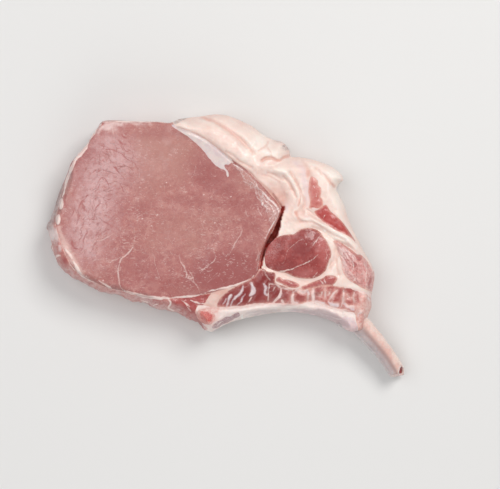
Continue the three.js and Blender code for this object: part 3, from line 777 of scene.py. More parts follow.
outside = sawn(bone_skin())
hollow = sawn(bone_skin((1.8, 2.9), 1.7))
rough = 0.2 * swell(angle * 3, 0 * angle, 1, 43)[:, None] * SAW_CUTS[1][1]
rings = [*outside, outside[-1] * 0.8 + hollow[-1] * 0.2 + rough, outside[-1] * 0.3 + hollow[-1] * 0.7 + rough]
rings += list(hollow[: -DEEP - 1 : -1])
points, faces = skin_mesh(rings)
scraped = smooth_object("scraped rib", points, faces)
length = np.repeat(np.arange(len(rings)) / len(outside), AROUND)
turn = np.tile(angle, len(rings))
# on the scraped end: the lower left half is darkened as painted shade, the groove along its top carries
# painted shade, and painted highlights run along its upper right side and its lower left rim
finishes = {
    "grey": ease(-np.cos(turn), -0.1, 0.25),
    "sawn": 1.0 * (length >= 0.995),
    "scraped": 1 + 0 * turn,
    "dim": mound(turn - 1.66, 0.3) * (length < 1) * ease(length, 0.2, 0.4),
    "lit": 0.8 * mound(turn - 0.25, 0.3) * (length < 1),
    "edge": mound(turn - 2.9, 0.4),
    "raw": mound(turn - 1.2, 0.42) * (0.55 + 0.45 * swell(length * 60, turn * 4, 4, 44)),
}
paint(scraped, **{name: np.append(values, [0, 0]) for name, values in finishes.items()})


def bone_look(tree):
    cloud = cloudy(tree, 7.0, 4.0)
    small = cloudy(tree, 1.6, 5.0)
    colour = over(tree, cloud, (0.83, 0.68, 0.64), (0.88, 0.77, 0.73))
    colour = over(tree, times(tree, small, 0.18), colour, (0.78, 0.55, 0.5))
    # pale streaks, and on the scraped end a painted highlight along its upper right side
    colour = laid(
        tree, colour,
        ("inner", 0.85, over(tree, cloud, (0.64, 0.45, 0.46), (0.77, 0.6, 0.605)), 0.5, 1.5, 0.3),
        ("stripe", 0.65, (0.48, 0.345, 0.36), 0.4, 1.6, 0.45),
        ("bare", 0.85, over(tree, cloudy(tree, 0.8, 4.0), (0.27, 0.1, 0.12), (0.54, 0.35, 0.38)), 0.4),
        ("lit", 0.9, (0.93, 0.87, 0.84), 0.2),
        ("salmon", 0.85, over(tree, small, (0.68, 0.32, 0.27), (0.83, 0.6, 0.54)), 0.7, 1.6, 0.4),
    )
    red = over(tree, small, (0.5, 0.13, 0.12), (0.66, 0.3, 0.27))
    colour = laid(
        tree, colour,
        ("flesh", 0.8, red, 0.5, 1.2, 0.3),
        ("arc", 0.8, (0.8, 0.66, 0.67), 0.3),
    )
    pink = over(tree, cloud, (0.76, 0.52, 0.455), (0.83, 0.65, 0.58))
    colour = laid(
        tree, colour,
        ("scraped", 0.9, pink),
        ("raw", 0.6, (0.7, 0.38, 0.32), 0.9, 0.9, 0.35),
    )
    # painted shade on the half turned from the light and in the groove, and a painted highlight along the
    # lower left rim
    grey = over(tree, cloud, (0.43, 0.35, 0.35), (0.53, 0.45, 0.45))
    colour = laid(
        tree, colour,
        ("grey", 0.95, grey),
        ("dim", 0.75, (0.36, 0.21, 0.19)),
        ("edge", 0.6, (0.72, 0.66, 0.65)),
    )
    cut = over(tree, small, (0.72, 0.42, 0.37), (0.88, 0.76, 0.72))
    colour = over(tree, shown(tree, "sawn", 0.9), colour, cut)
    return colour, times(tree, small, 0.15)


bone = finish("rib bone", bone_look, (0.55, 0.32, 0.3), rough=(0.35, 0.55), coat=(0.1, 0.5), **PALE_GLOW)
with bpy.context.temp_override(
    active_object=rib_bone.object, selected_editable_objects=[rib_bone.object, scraped]
):
    bpy.ops.object.join()
done(rib_bone, bone)

# the marrow that shows in the sawn end
core = sawn(bone_skin((1.7, 2.8), 1.7), 0.8)[-DEEP + 2 :]
middle = core[-1].mean(0)
rings = [
    *core,
    *(middle + (core[-1] - middle) * size - 0.5 * SAW_CUTS[1][1] * (1 - size) for size in (0.8, 0.5, 0.2))
]
points, faces = skin_mesh(rings)
rib_marrow = smooth_object("raw_rib_marrow", points, faces)


def dark_marrow_look(tree):
    cloud = cloudy(tree, 1.2, 4.0)
    return over(tree, cloud, (0.25, 0.015, 0.02), (0.42, 0.06, 0.06)), times(tree, cloud, 0.2)


dark_marrow = finish("dark marrow", dark_marrow_look, (0.2, 0.01, 0.015), rough=(0.3, 0.5), **MEAT_GLOW)
done(rib_marrow, dark_marrow)

# ---- Streaks of belly muscle ----
# Thin sheets of pink muscle that run through the belly fat, cut across by the knife: a flat one at the edge
# beside the rib, a red one above it and a short pale one in the fold. Each is grown into the fat round it.


def warped(tree, place, amount, scale):
    """A place pushed about by soft noise, so that a regular pattern laid on it turns irregular."""
    noise = add(tree, "TexNoise", {"Vector": place, "Scale": scale, "Detail": 2}).outputs["Color"]
    push = add(tree, "VectorMath", {0: noise, "Scale": amount}, operation="SCALE").outputs[0]
    return add(tree, "VectorMath", {0: place, 1: push}).outputs[0]


# fibre bundles of muscle, seen end on where the knife cut them and lengthways down the sides
bundling, given, result = group("fibre bundles", {"Size": 1.2}, ["Seams", "Tone", "Grain", "Height"])
place = warped(bundling, slice_place(bundling, 0.08), 2.2, 0.35)
scale = sums(bundling, "DIVIDE", 1.0, given["Size"])
seam = add(
    bundling, "TexVoronoi", {"Vector": place, "Scale": scale}, feature="DISTANCE_TO_EDGE"
).outputs["Distance"]
tone = add(bundling, "TexVoronoi", {"Vector": place, "Scale": scale}).outputs["Color"]
grain = add(
    bundling,
    "TexNoise",
    {"Vector": place, "Scale": times(bundling, scale, 1.1), "Detail": 4, "Roughness": 0.7}
)
bundling.links.new(between(bundling, seam, 0.14, 0.0), result["Seams"])
bundling.links.new(add(bundling, "SeparateColor", {0: tone}).outputs[0], result["Tone"])
bundling.links.new(between(bundling, grain.outputs[0], 0.35, 0.68), result["Grain"])
bundling.links.new(grain.outputs[0], result["Height"])

# short pale strokes of fat strewn through muscle, in clusters, most of them slanting the same way
dashing, given, result = group("pale strokes", {"Size": 0.6, "Amount": 0.5}, ["Strokes"])
place = warped(dashing, slice_place(dashing, 0.3), 9, 0.045)
place = add(dashing, "Mapping", {"Vector": place, "Rotation": (0, 0, -0.75), "Scale": (0.3, 1, 1)}).outputs[0]
stroke = add(
    dashing, "TexNoise", {"Vector": place, "Scale": sums(dashing, "DIVIDE", 1.0, given["Size"]), "Detail": 2}
)
where = add(dashing, "TexNoise", {"Vector": slice_place(dashing, 0.3), "Scale": 0.16, "Detail": 4}).outputs[0]
level = times(dashing, given["Amount"], between(dashing, where, 0.35, 0.65, 0.25, 1.0))
level = sums(dashing, "SUBTRACT", 0.76, times(dashing, level, 0.2))
strokes = between(dashing, sums(dashing, "SUBTRACT", stroke.outputs[0], level), 0.0, 0.07)
dashing.links.new(strokes, result["Strokes"])

# fine white threads of gristle and fat, a net of which only scattered stretches show
netting, given, result = group("fat threads", {"Size": 5, "Width": 0.05, "Shown": 0.5}, ["Threads"])
place = warped(netting, slice_place(netting, 0.3), times(netting, given["Size"], 0.9), 0.3)
net = add(netting, "TexVoronoi", {"Vector": place, "Scale": sums(netting, "DIVIDE", 1.0, given["Size"])},
          feature="DISTANCE_TO_EDGE").outputs["Distance"]
where = add(netting, "TexNoise", {"Vector": place, "Scale": 0.45, "Detail": 3}).outputs[0]
thread = between(netting, net, given["Width"], 0.0)
stretch = between(netting, where, sums(netting, "SUBTRACT", 0.72, times(netting, given["Shown"], 0.4)),
                  sums(netting, "SUBTRACT", 0.82, times(netting, given["Shown"], 0.4)))
netting.links.new(times(netting, thread, stretch), result["Threads"])

# fine folds in a skin or a film of juice, a long net of lines turned by Turn, which comes and goes
wrinkling, given, result = group("wrinkles", {"Size": 2.0, "Turn": 0.0, "Width": 0.08}, ["Lines", "Height"])
place = add(
    wrinkling,
    "VectorRotate",
    {"Vector": slice_place(wrinkling, 0.5), "Center": (-60, 25, 0), "Angle": given["Turn"]},
    rotation_type="Z_AXIS"
).outputs[0]
place = add(
    wrinkling, "Mapping", {"Vector": warped(wrinkling, place, 2.6, 0.5), "Scale": (0.4, 1, 1)}
).outputs[0]
scale = sums(wrinkling, "DIVIDE", 1.0, given["Size"])
folds = add(
    wrinkling, "TexVoronoi", {"Vector": place, "Scale": scale}, feature="DISTANCE_TO_EDGE"
).outputs["Distance"]
where = add(wrinkling, "TexNoise", {"Vector": place, "Scale": times(wrinkling, scale, 1.5), "Detail": 3})
stretch = between(wrinkling, where.outputs[0], 0.44, 0.58)
fold = between(wrinkling, folds, given["Width"], 0.0)
wrinkling.links.new(times(wrinkling, fold, stretch), result["Lines"])
wrinkling.links.new(between(wrinkling, folds, 0.0, 0.25), result["Height"])


def muscle(
    name, lean, deep, seams, fat=(0.87, 0.7, 0.65), bundle=1.0, strokes=0.7, border=0.3, wander=0.7,
    soft=0.16, net=0.3, extra=None, depth=0.12, **looks
):
    """Raw muscle: two tones of lean, its fibre bundles, flecks, a ragged pale border and the fat painted on
    it."""

    def look(tree):
        fibres = use(tree, bundling, Size=bundle)
        cloud = cloudy(tree, 9.0, 6.0)
        colour = over(tree, cloud, lean, deep)
        tan = cloudy(tree, 3.6, 5.0)
        colour = over(tree, between(tree, tan, 0.55, 1.0, 0.0, 0.6), colour, seams)
        colour = over(tree, between(tree, tan, 0.45, 0.0, 0.0, 0.8), colour, deep)
        blotch = cloudy(tree, 1.7, 6.0)
        colour = over(tree, times(tree, blotch, 0.3), colour, seams)
        colour = over(tree, times(tree, fibres["Tone"], 0.14), colour, deep)
        colour = over(tree, times(tree, fibres["Grain"], 0.38), colour, seams)
        colour = over(tree, times(tree, fibres["Seams"], 0.14), colour, seams)
        dashes = use(tree, dashing, Size=0.6, Amount=strokes)["Strokes"]
        colour = over(tree, times(tree, dashes, 0.32), colour, fat)
        threads = use(tree, netting, Size=3.2, Width=0.05, Shown=0.6)["Threads"]
        colour = over(tree, times(tree, threads, net), colour, fat)
        height = times(tree, fibres["Height"], depth)
        if extra:
            colour, height = extra(tree, colour, height)
        side = cloudy(tree, 3.0, 5.0)
        dull = times(tree, shown(tree, "side"), times(tree, side, 0.55))
        colour = over(tree, dull, colour, (0.68, 0.44, 0.41))
        near_rim = sums(tree, "SUBTRACT", shown(tree, "rim"), shown(tree, "bare"))
        near_rim = sums(tree, "ADD", near_rim, border / 2 - 0.5)
        pale = use(tree, ragging, Mask=near_rim, Size=1.3, Wander=wander, Soft=soft)["Mask"]
        colour = over(tree, times(tree, pale, 0.7), colour, (0.84, 0.5, 0.41))
        marbling = torn(tree, "fat", 1.0, 0.3, 0.9, 0.12)
        height = sums(tree, "ADD", height, times(tree, marbling, 0.15))
        fatty = over(tree, between(tree, tan, 0.35, 0.75, 0.0, 0.5), fat, (0.78, 0.53, 0.48))
        return over(tree, times(tree, marbling, 0.9), colour, fatty), height

    # its painted shade in the hollows is its deep tone, darker still
    shade = tuple(0.75 * part for part in deep)
    return finish(name, look, shade, **{**MEAT_GLOW, **looks})


def wavy_extra(tree, colour, height):
    colour = over(tree, shown(tree, "milky", 0.85), colour, (0.82, 0.59, 0.56))
    strands = use(tree, wrinkling, Size=1.5, Turn=0.95, Width=0.16)
    colour = over(tree, times(tree, strands["Lines"], 0.6), colour, (0.47, 0.135, 0.125))
    white = use(tree, netting, Size=2.2, Width=0.07, Shown=0.9)["Threads"]
    colour = over(tree, times(tree, white, 0.3), colour, (0.86, 0.66, 0.62))
    colour = over(tree, torn(tree, "red", 0.8, 0.4, 1.0, 0.2), colour, (0.43, 0.11, 0.105))
    return colour, sums(tree, "ADD", height, times(tree, strands["Height"], 0.25))


def belly_relief(x, y, far):
    along, across = 0.5 * (x * 0.62 + y * 0.78), 1.6 * (x * 0.78 - y * 0.62)
    return 0.8 * ease(far, 0, 3) + 0.2 * swell(across, along, 1.6, 51)


belly_muscle = cut_piece("belly_muscle", [
    (54, 2.5), (56.5, 2.5), (60, 0.2), (63.5, -2.2), (66, -4.2), (68, -4.5), (77.5, -17), (78.5, -23),
    (74.5, -23.2), (68.5, -21), (65.5, -19.2), (62.5, -17.5), (60, -15), (58.5, -12), (58, -8), (55.5, -0.5)
], belly_relief)
paint(
    belly_muscle,
    fat=lines(belly_muscle, [
        (0.2, [(62.5, -18.5), (65.5, -16)]), (0.25, [(61, -11), (65.5, -17.5)]),
        (0.2, [(63.5, -13), (64, -10), (63.5, -8)]), (0.25, [(69, -8), (70.5, -12), (70, -18)]),
        (0.4, [(70.5, -5.5), (73, -9.5), (74.5, -13)])
    ]),
    red=lines(belly_muscle, [
        (0.7, [(57.5, 1.8), (65.5, -4.2), (67, -5.8)]),
        (0.3, [(53.5, 2.5), (59, -1.2), (63.2, -7), (64.2, -10)]),
        (0.25, [(58.2, 0.5), (64, -2.8), (65.8, -5)]), (0.3, [(58, -4.5), (62.5, -10)]),
        (0.3, [(59, -3.5), (62.2, -8)]), (0.3, [(63, -8), (64, -8.3), (64.5, -9.5), (63.7, -10.3)]),
        (0.25, [(73, -15), (72, -21)])
    ])
    + spots(belly_muscle, [(67, -5.5, 1.6, 2, 1), (65.5, -11, 1.6, 3.4, 0.5), (71, -17, 3, 4, 0.4)]),
    milky=spots(belly_muscle, [
        (57.5, -1, 4, 3.6, 0.8), (60.5, -3.5, 3, 3.6, 0.9), (58.8, -9, 1.6, 6, 1), (64, -6, 1.4, 3, 0.6),
        (61, -15, 2, 3, 0.6)
    ]),
)
done(belly_muscle, muscle(
    "belly muscle", (0.67, 0.27, 0.245), (0.58, 0.175, 0.16), (0.78, 0.49, 0.455), border=0.6, wander=1.1,
    soft=0.4, net=0.35, extra=wavy_extra
))

belly_strip = cut_piece("belly_strip", [
    (44.5, 17.2), (46.5, 18.2), (50.2, 20.5), (52.5, 17.5), (58.5, 12), (65.6, 1.4), (62.8, 4), (59.5, 6),
    (54.5, 8.2), (50.5, 11), (48, 12.8)
], plump(0.5, 2.5, (0.2, 1.6, 52)))
paint(belly_strip, fat=lines(belly_strip, [(0.16, [(48.8, 14.2), (49.8, 15.8)])]))
done(belly_strip, muscle(
    "red streak", (0.41, 0.036, 0.033), (0.35, 0.025, 0.023), (0.53, 0.11, 0.095), border=0.35, wander=0.6,
    soft=0.45, net=0.0, strokes=0.2
))

fold_strip = cut_piece("fold_strip", [
    (43, 34.7), (46.2, 32.5), (46.4, 30.5), (47.7, 29), (48, 27), (47.6, 24.5), (48.7, 22.7), (48.3, 18.5),
    (45, 17.8), (42, 18.8), (42.3, 21.5), (42.1, 24), (41.5, 27)
], plump(0.4, 2.5, (0.2, 1.6, 53)))
paint(fold_strip, fat=lines(fold_strip, [
    (0.1, [(43.8, 31), (44.5, 29)]), (0.1, [(46, 26.5), (45.2, 24.5)]), (0.5, [(42.2, 18.8), (47.5, 18.2)])
]))
done(fold_strip, muscle(
    "pink streak", (0.52, 0.135, 0.115), (0.46, 0.095, 0.08), (0.64, 0.26, 0.225), border=0.55, wander=0.8,
    soft=0.5, net=0.1, strokes=0.4
))

# ---- Dark muscles beside the eye ----
# The small round muscle and the two slips under it work harder than the loin, so they are darker red. Each is
# wrapped in its own thin white skin, with a few branching veins of fat across it, and is held by the fat
# round it.


def dark_extra(tree, colour, height):
    colour = laid(
        tree, colour,
        ("shade", 0.75, (0.23, 0.025, 0.025)),
        ("bloom", 0.7, (0.5, 0.13, 0.12)),
    )
    sheen = use(tree, netting, Size=1.1, Width=0.12, Shown=1.0)["Threads"]
    sheen = times(tree, sheen, shown(tree, "milky", 0.35))
    return over(tree, sheen, colour, (0.75, 0.5, 0.47)), height


round_muscle = cut_piece(
    "round_muscle",
    [
        (26, 4.3), (32.5, 5.9), (34, 5.8), (37.5, 8.2), (42.5, 9), (47, 7.3), (49.5, 4), (51, 2), (53, -4),
        (51, -10), (50, -12.5), (44.5, -16), (36, -15.8), (30, -13.4), (26.5, -12.9), (21, -10.5), (20, -8.5),
        (20.5, -2)
    ],
    plump(1.4, 7, (0.2, 2.5, 54), (0.1, 1, 55))
)
paint(
    round_muscle,
    fat=lines(round_muscle, [
        (0.35, [(26, -13.2), (34, -11.3)]),
        (0.14, [(30.8, -12), (34.2, -11.2), (36, -10.2), (42, -7.5), (46.8, -4.2)]),
        (0.06, [(27.5, -8.8), (29, -8), (32, -1.2), (37.5, 2.8), (39, 3.5), (40, 1.5), (41.5, 0.8)]),
        (0.15, [(48.2, 5.8), (46, 3.5), (43.5, 0)]), (0.12, [(43.8, -16), (46, -13)]),
        (0, [(41, -8), (43, -10.2)]),
        (0, [(33, -2.5), (33.3, -6)]), (0, [(39, 3.5), (40.5, 0)]),
        (0.6, [(54.5, -5.5), (52.8, -6.8), (52.2, -8)]),
        (0.15, [(50, -2), (51, -4), (50.5, -6.5)]),
    ]),
    shade=spots(round_muscle, [(37.5, -2, 6, 4.5, 1.1), (31, -9.5, 4, 2.5, 0.6), (45, -7.5, 3, 2.5, 0.4)]),
    bloom=spots(round_muscle, [
        (50, -5, 3.5, 6, 1), (40, -13.5, 8, 2.4, 0.8), (48, 1, 3.4, 4, 0.9), (34, 5, 4, 2, 0.3),
        (22, -4, 2, 6, 0.5)
    ]),
    bare=spots(round_muscle, [(20, -5, 2.5, 8, 1), (22.5, 2, 3, 3, 0.8)]),
    milky=spots(round_muscle, [
        (51, -3, 2, 6, 0.9), (22.5, -5, 2.4, 6, 1), (26, 0, 4, 3, 0.6), (45, 6, 4, 2.4, 0.4),
        (46.5, 1.5, 3, 2, 0.8)
    ]),
)
dark = muscle(
    "dark muscle", (0.26, 0.0205, 0.019), (0.2, 0.0145, 0.0135), (0.44, 0.09, 0.08), bundle=0.8, strokes=0.6,
    border=0.45, wander=1.2, soft=0.35, net=0.1, extra=dark_extra
)
done(round_muscle, dark)

SLIPS = {
    "small_muscle_right": [
        (38, -20.5), (41, -19), (49, -15.8), (50.5, -14.7), (55, -15), (56, -16.5), (54, -19.3),
        (51.5, -19.8), (49.5, -19.6), (42, -21.3), (39, -21.8)
    ],
    "small_muscle_left": [
        (25.5, -16.3), (27, -15.3), (29, -16.5), (31.5, -16.8), (36.5, -18.7), (37.2, -19.7), (35.8, -20.8),
        (31.5, -20.5), (28, -18.7), (25.5, -17.5)
    ],
}
for name, outline in SLIPS.items():
    slip = cut_piece(name, outline, plump(0.6, 2, (0.2, 1.2, 56)))
    paint(slip, fat=lines(slip, [
        (0.3, [(47.2, -16.5), (48.8, -19)]), (0.25, [(49.5, -16), (50.2, -18.8)]),
        (0.2, [(30.5, -17.5), (33.5, -18.8)])
    ]), bloom=0.8, milky=0.3)
    done(slip, dark)

# ---- Meat between the ribs ----
# A band of short dark bundles lies along the rib, with white walls of gristle between them that stand a
# little proud. At the clean end it was cut back to a pale flap that hangs round the bone.
SEPTA = [
    (0.4, [(19.5, -12), (20.5, -14.5), (22.5, -17)]), (0.35, [(22, -18.5), (21.5, -27.5)]),
    (0.5, [(22.5, -18.8), (25, -19.2), (28.5, -20.7), (32.5, -21.4), (36.5, -21)]),
    (0.6, [(28, -20.5), (28.3, -22), (27.5, -24.5), (24, -28.2)]),
    (0.7, [(33.5, -21.5), (34, -23.5), (33.5, -25.5), (33.7, -27.5), (35.5, -28.7)]),
    (0.6, [(34.5, -23), (36.5, -22), (39, -23), (41, -21.5)]), (0.35, [(41.2, -22.5), (41.5, -28)]),
    (0.65, [(43.8, -21.5), (43.8, -28)]), (0.3, [(49.8, -21), (49.8, -26)]),
    (0.5, [(55.5, -22), (53.8, -24), (52.2, -26.8)]), (0.5, [(59.2, -22), (59.2, -25), (58, -30)]),
    (0.4, [(64.5, -23), (63.8, -25.5), (64.5, -28)]), (0.6, [(59.5, -28.5), (61.5, -30), (64, -30.3)]),
    (0.5, [(28.5, -29.5), (29.2, -28.5), (28.5, -27)]), (0.3, [(23.8, -22.5), (24.8, -20.5)]),
    (0.4, [(46, -24), (47.5, -24.8), (48.5, -23)]), (0.3, [(11.5, -28), (13.5, -25.5)]),
    (0.3, [(52.5, -22.5), (51.5, -24)]), (0.3, [(61, -23.5), (62, -25.5)]),
]
# white and lilac gristle, and glints on the wet bundles painted as pale streaks
GRISTLE = [
    (0.25, [(-0.8, -29), (0.5, -26.5)]), (0.6, [(0.8, -30.5), (2.5, -25.5), (3.2, -24.5)]),
    (0.4, [(3, -29.8), (5, -25.5), (7.7, -23.8), (9.2, -20)]), (0.25, [(6.5, -29.5), (10, -24.2)]),
    (0.8, [(13, -18.5), (14.2, -22.7), (13, -24.5)]),
    (0.6, [(19.5, -19), (20.5, -21), (20, -23.5), (21, -24.5)]),
    (0.4, [(28, -21.5), (27.8, -24), (26.8, -25.7)]), (0.6, [(34, -23.5), (33.8, -27.5), (35.8, -28.5)]),
    (0.5, [(41, -22), (41.5, -24)]), (0.5, [(44, -22.5), (44, -27)]),
    (0.7, [(44.3, -26.8), (46.5, -28.3), (49.2, -28.7)]), (0.7, [(52, -28.3), (54.5, -29.7), (56.5, -29.5)]),
    (0.5, [(59, -28.5), (61, -30.3), (64, -30.2)]), (0.5, [(62, -30.8), (64, -31.7)]),
    (0.2, [(66.2, -35.5), (66.8, -33.5), (68.2, -32.8)]), (0.3, [(70.5, -25.5), (73, -27.3)]),
]
LININGS = [
    (0.5, [(-4.5, -30.7), (8.5, -30.3), (12.5, -29.4), (18.5, -28.7)]),
    (0.6, [(18.5, -28.7), (30.5, -29.3), (36.5, -29.1)]),
    (0.5, [(36.5, -29.1), (45, -27.8), (48.5, -29.1), (57, -31.7), (62.5, -32.6)]),
    (0.4, [(-4.5, -22), (2, -20.5), (12, -16.8)]),
    (1.1, [(60, -20), (63.5, -20.5), (70.5, -23.5), (73.5, -25.5)]),
]


def band_relief(x, y, far):
    walls = sum(0.8 * ridge(x, y, points, 1) for _, points in SEPTA)
    cords = sum(0.35 * ridge(x, y, points, 0.7) for _, points in GRISTLE)
    return 0.8 * ease(far, 0, 3) - walls + cords + 0.35 * swell(x, y, 2, 57)


rib_muscle = cut_piece("rib_muscle", [
    (-4, -30.5), (-3, -27), (-0.5, -24), (3.5, -21.2), (15, -15), (17, -12.2), (19, -11.2), (21.5, -12.8),
    (25, -13.5), (25.2, -18.2), (29.5, -20), (33.5, -21.6), (37, -21), (42.5, -20.8), (47.5, -19.8),
    (52.5, -19.6), (58.5, -20.5), (62.5, -20.5), (66.5, -22), (70.5, -23), (77, -24.5), (79, -33), (74, -38),
    (72, -44), (66, -46), (65.5, -38), (65, -34), (58, -36), (40, -35), (15, -36), (-2, -33)
], band_relief)
halo = lines(rib_muscle, [
    (width + 0.3, points) for width, points in SEPTA + GRISTLE[4:13] + LININGS[:3]
], 1.3)
paint(
    rib_muscle,
    fat=lines(rib_muscle, [(width - 0.08, points) for width, points in SEPTA + LININGS]),
    gristle=lines(rib_muscle, GRISTLE, 0.8),
    halo=halo,
    dusk=spots(rib_muscle, [
        (8, -25.5, 13, 6, 1.1), (18, -20, 6, 5, 0.9), (22, -14.5, 4, 4, 1), (27, -24, 5, 5, 0.8),
        (37, -25, 3, 3, 0.4), (45, -25, 2.4, 3, 0.5)
    ]),
    flap=patch(rib_muscle, [
        (66, -21), (77.5, -23), (80, -40), (66, -47), (63.5, -38), (64.5, -31.5), (66.5, -27)
    ], 3, 1) + patch(rib_muscle, [(36.5, -20), (40.5, -21), (40, -23.5), (36, -23)], 1, 0.6)
)


def band_extra(tree, colour, height):
    cloud = cloudy(tree, 2.6, 4.0)
    core = between(tree, shown(tree, "halo"), 0.2, 0.0, 0.0, 0.65)
    colour = over(tree, core, colour, (0.33, 0.05, 0.045))
    colour = laid(
        tree, colour,
        ("halo", 0.8, (0.78, 0.5, 0.44), 0.7, 1.0, 0.4),
        ("dusk", 0.9, (0.21, 0.014, 0.014)),
    )
    pale = over(tree, cloud, (0.62, 0.27, 0.235), (0.8, 0.55, 0.49))
    colour = over(tree, torn(tree, "flap", 0.9, 0.5, 2.0, 0.3), colour, pale)
    strands = use(tree, wrinkling, Size=1.4, Turn=0.9, Width=0.14)["Lines"]
    colour = over(tree, times(tree, strands, shown(tree, "flap", 0.5)), colour, (0.84, 0.64, 0.58))
    # the gristle and the painted glints, pale lilac
    cords = over(tree, cloud, (0.68, 0.53, 0.56), (0.82, 0.72, 0.72))
    return over(tree, torn(tree, "gristle", 0.85, 0.6, 0.9, 0.3), colour, cords), height


band = muscle(
    "rib meat", (0.43, 0.1, 0.09), (0.36, 0.07, 0.064), (0.6, 0.25, 0.215), fat=(0.82, 0.62, 0.58),
    strokes=0.9, border=0.35, wander=1.2, soft=0.35, net=0.25, extra=band_extra
)
done(rib_muscle, band)

# ---- Eye of the loin ----
# The big round muscle of the chop, pale pink and fine grained. A film of juice lies in fine wrinkles over its
# left side, pale with its own milky colour and a painted sheen, white veins branch through it, and a tag of
# silver skin and torn threads cling along the back fat.
EYE = [
    (-66, 68), (-40, 68), (-28.5, 63), (-23.5, 59.2), (-17.5, 57), (-10, 53.2), (3.5, 43), (10, 38.5),
    (21, 27.5), (27.5, 19.5), (27.5, 16), (26, 12), (23.5, 7.5), (19, -2.5), (17, -11.5), (15.5, -14.5),
    (12.5, -16.8), (2.5, -20.8), (-3, -22.2), (-8.5, -23.8), (-30, -26), (-37.5, -25.8), (-44, -24.5),
    (-50.5, -22.5), (-57.5, -21.2), (-64, -18.5), (-69.5, -16), (-74.5, -12), (-78, -7), (-83.8, 9),
    (-84, 14), (-82, 25), (-81, 30), (-86, 36), (-88, 52)
]
SILVER = [
    (-26.5, 59.8), (-22.5, 57.2), (-14, 50.6), (-4.5, 40.1), (-2.5, 38.7), (-0.5, 38), (0.5, 36.5), (1, 34.5),
    (1.8, 34), (2, 35.2), (1.3, 37.2), (0.3, 38.7), (0, 40.3), (2, 40.5), (3.3, 41.8), (4.5, 41.2), (1, 45.3),
    (-11, 54.2), (-21, 58.8), (-24.5, 60.3)
]
VEINS = [
    (0.3, [(-45.8, -0.5), (-48.5, -4.2), (-51, -6), (-52.2, -8)]),
    (0.25, [(-51.6, -7), (-53, -11), (-52, -20), (-50.5, -22), (-48.5, -23)]),
    (0.45, [(-46, -23.4), (-37.5, -25.2), (-30, -25.6)]),
    (0.25, [(-67.5, -8), (-64.5, -7), (-60, -6.5), (-56.5, -7.5), (-50.5, -5)]),
    (0.3, [(-66, 0.2), (-64.5, 2.2), (-60.5, 3), (-56.8, 5.5)]), (0.2, [(-45.2, 11), (-44.8, 4), (-45.5, 1)]),
    (0.2, [(-42.5, 39), (-42.6, 34)]),
    (0.25, [(-35, -5.5), (-34.8, -8.5), (-33.5, -12), (-33, -14.5), (-32, -17)]),
    (0.4, [(-22.8, -5), (-21.5, -8.5), (-20, -11), (-18.5, -15.8)]),
    (0.45, [(-19.2, -15.5), (-17, -16.2), (-15.6, -15.6)]), (0.3, [(-17.6, -13), (-16, -15), (-15.4, -17.4)]),
    (0.3, [(-18, -15.8), (-14, -19.5), (-12, -24.5)]),
    (0.3, [(-6.5, -2), (-5.2, -3.5), (-5, -6.5), (-10, -11), (-12, -13)]),
    (0.25, [(-1, -2.5), (-0.6, -4), (0.6, -5), (1.6, -3.6)]), (0.25, [(3.5, 7), (5.5, 4.5)]),
    (0.3, [(7.5, 10), (8.6, 7.5), (5.5, 2.5), (4.5, 0), (2, -4.5)]),
    (0.3, [(10, 19), (10.6, 16.5), (11.6, 14.5)]), (0.25, [(9.5, 14), (10.5, 12)]),
    (0.3, [(16, 19.5), (17, 17), (18.4, 15)]), (0.3, [(15.5, 1.5), (16.5, -2), (16.5, -5), (15.4, -8)]),
    (0.2, [(-8.5, -18.5), (-4.5, -14)]), (0.25, [(-27.5, -2.5), (-26, -4.5)]),
    (0.2, [(-14, 41), (-15, 37), (-16.5, 34)]), (0.2, [(-30, 30), (-30.4, 26)]),
    (0.2, [(-12, 14), (-10.5, 9), (-9.5, 7)]), (0.2, [(-28, 4), (-26, 1)]), (0.2, [(8, -9), (11, -12.4)]),
    (0.2, [(0, 16), (2, 14.4), (3, 12)]), (0.2, [(13, 8), (14.6, 5)]), (0.2, [(-26, -19), (-24, -21)]),
    (0.2, [(-62, -13), (-57, -14), (-55, -16)]), (0.3, [(-56, 60.5), (-55.8, 57), (-55, 53.5)]),
    (0.2, [(-50, 41), (-47, 38), (-44.6, 30)]),
]
FLECKS = [
    (-10.5, 25.5), (-29, 31.5), (-33.5, 15.5), (-36.5, 10), (-5, 11.5), (3, 24.5), (-58.5, -20),
    (-60.5, -17.2), (-66, -18.6), (-69, -15.2), (20, 4), (-41, 13.6)
]
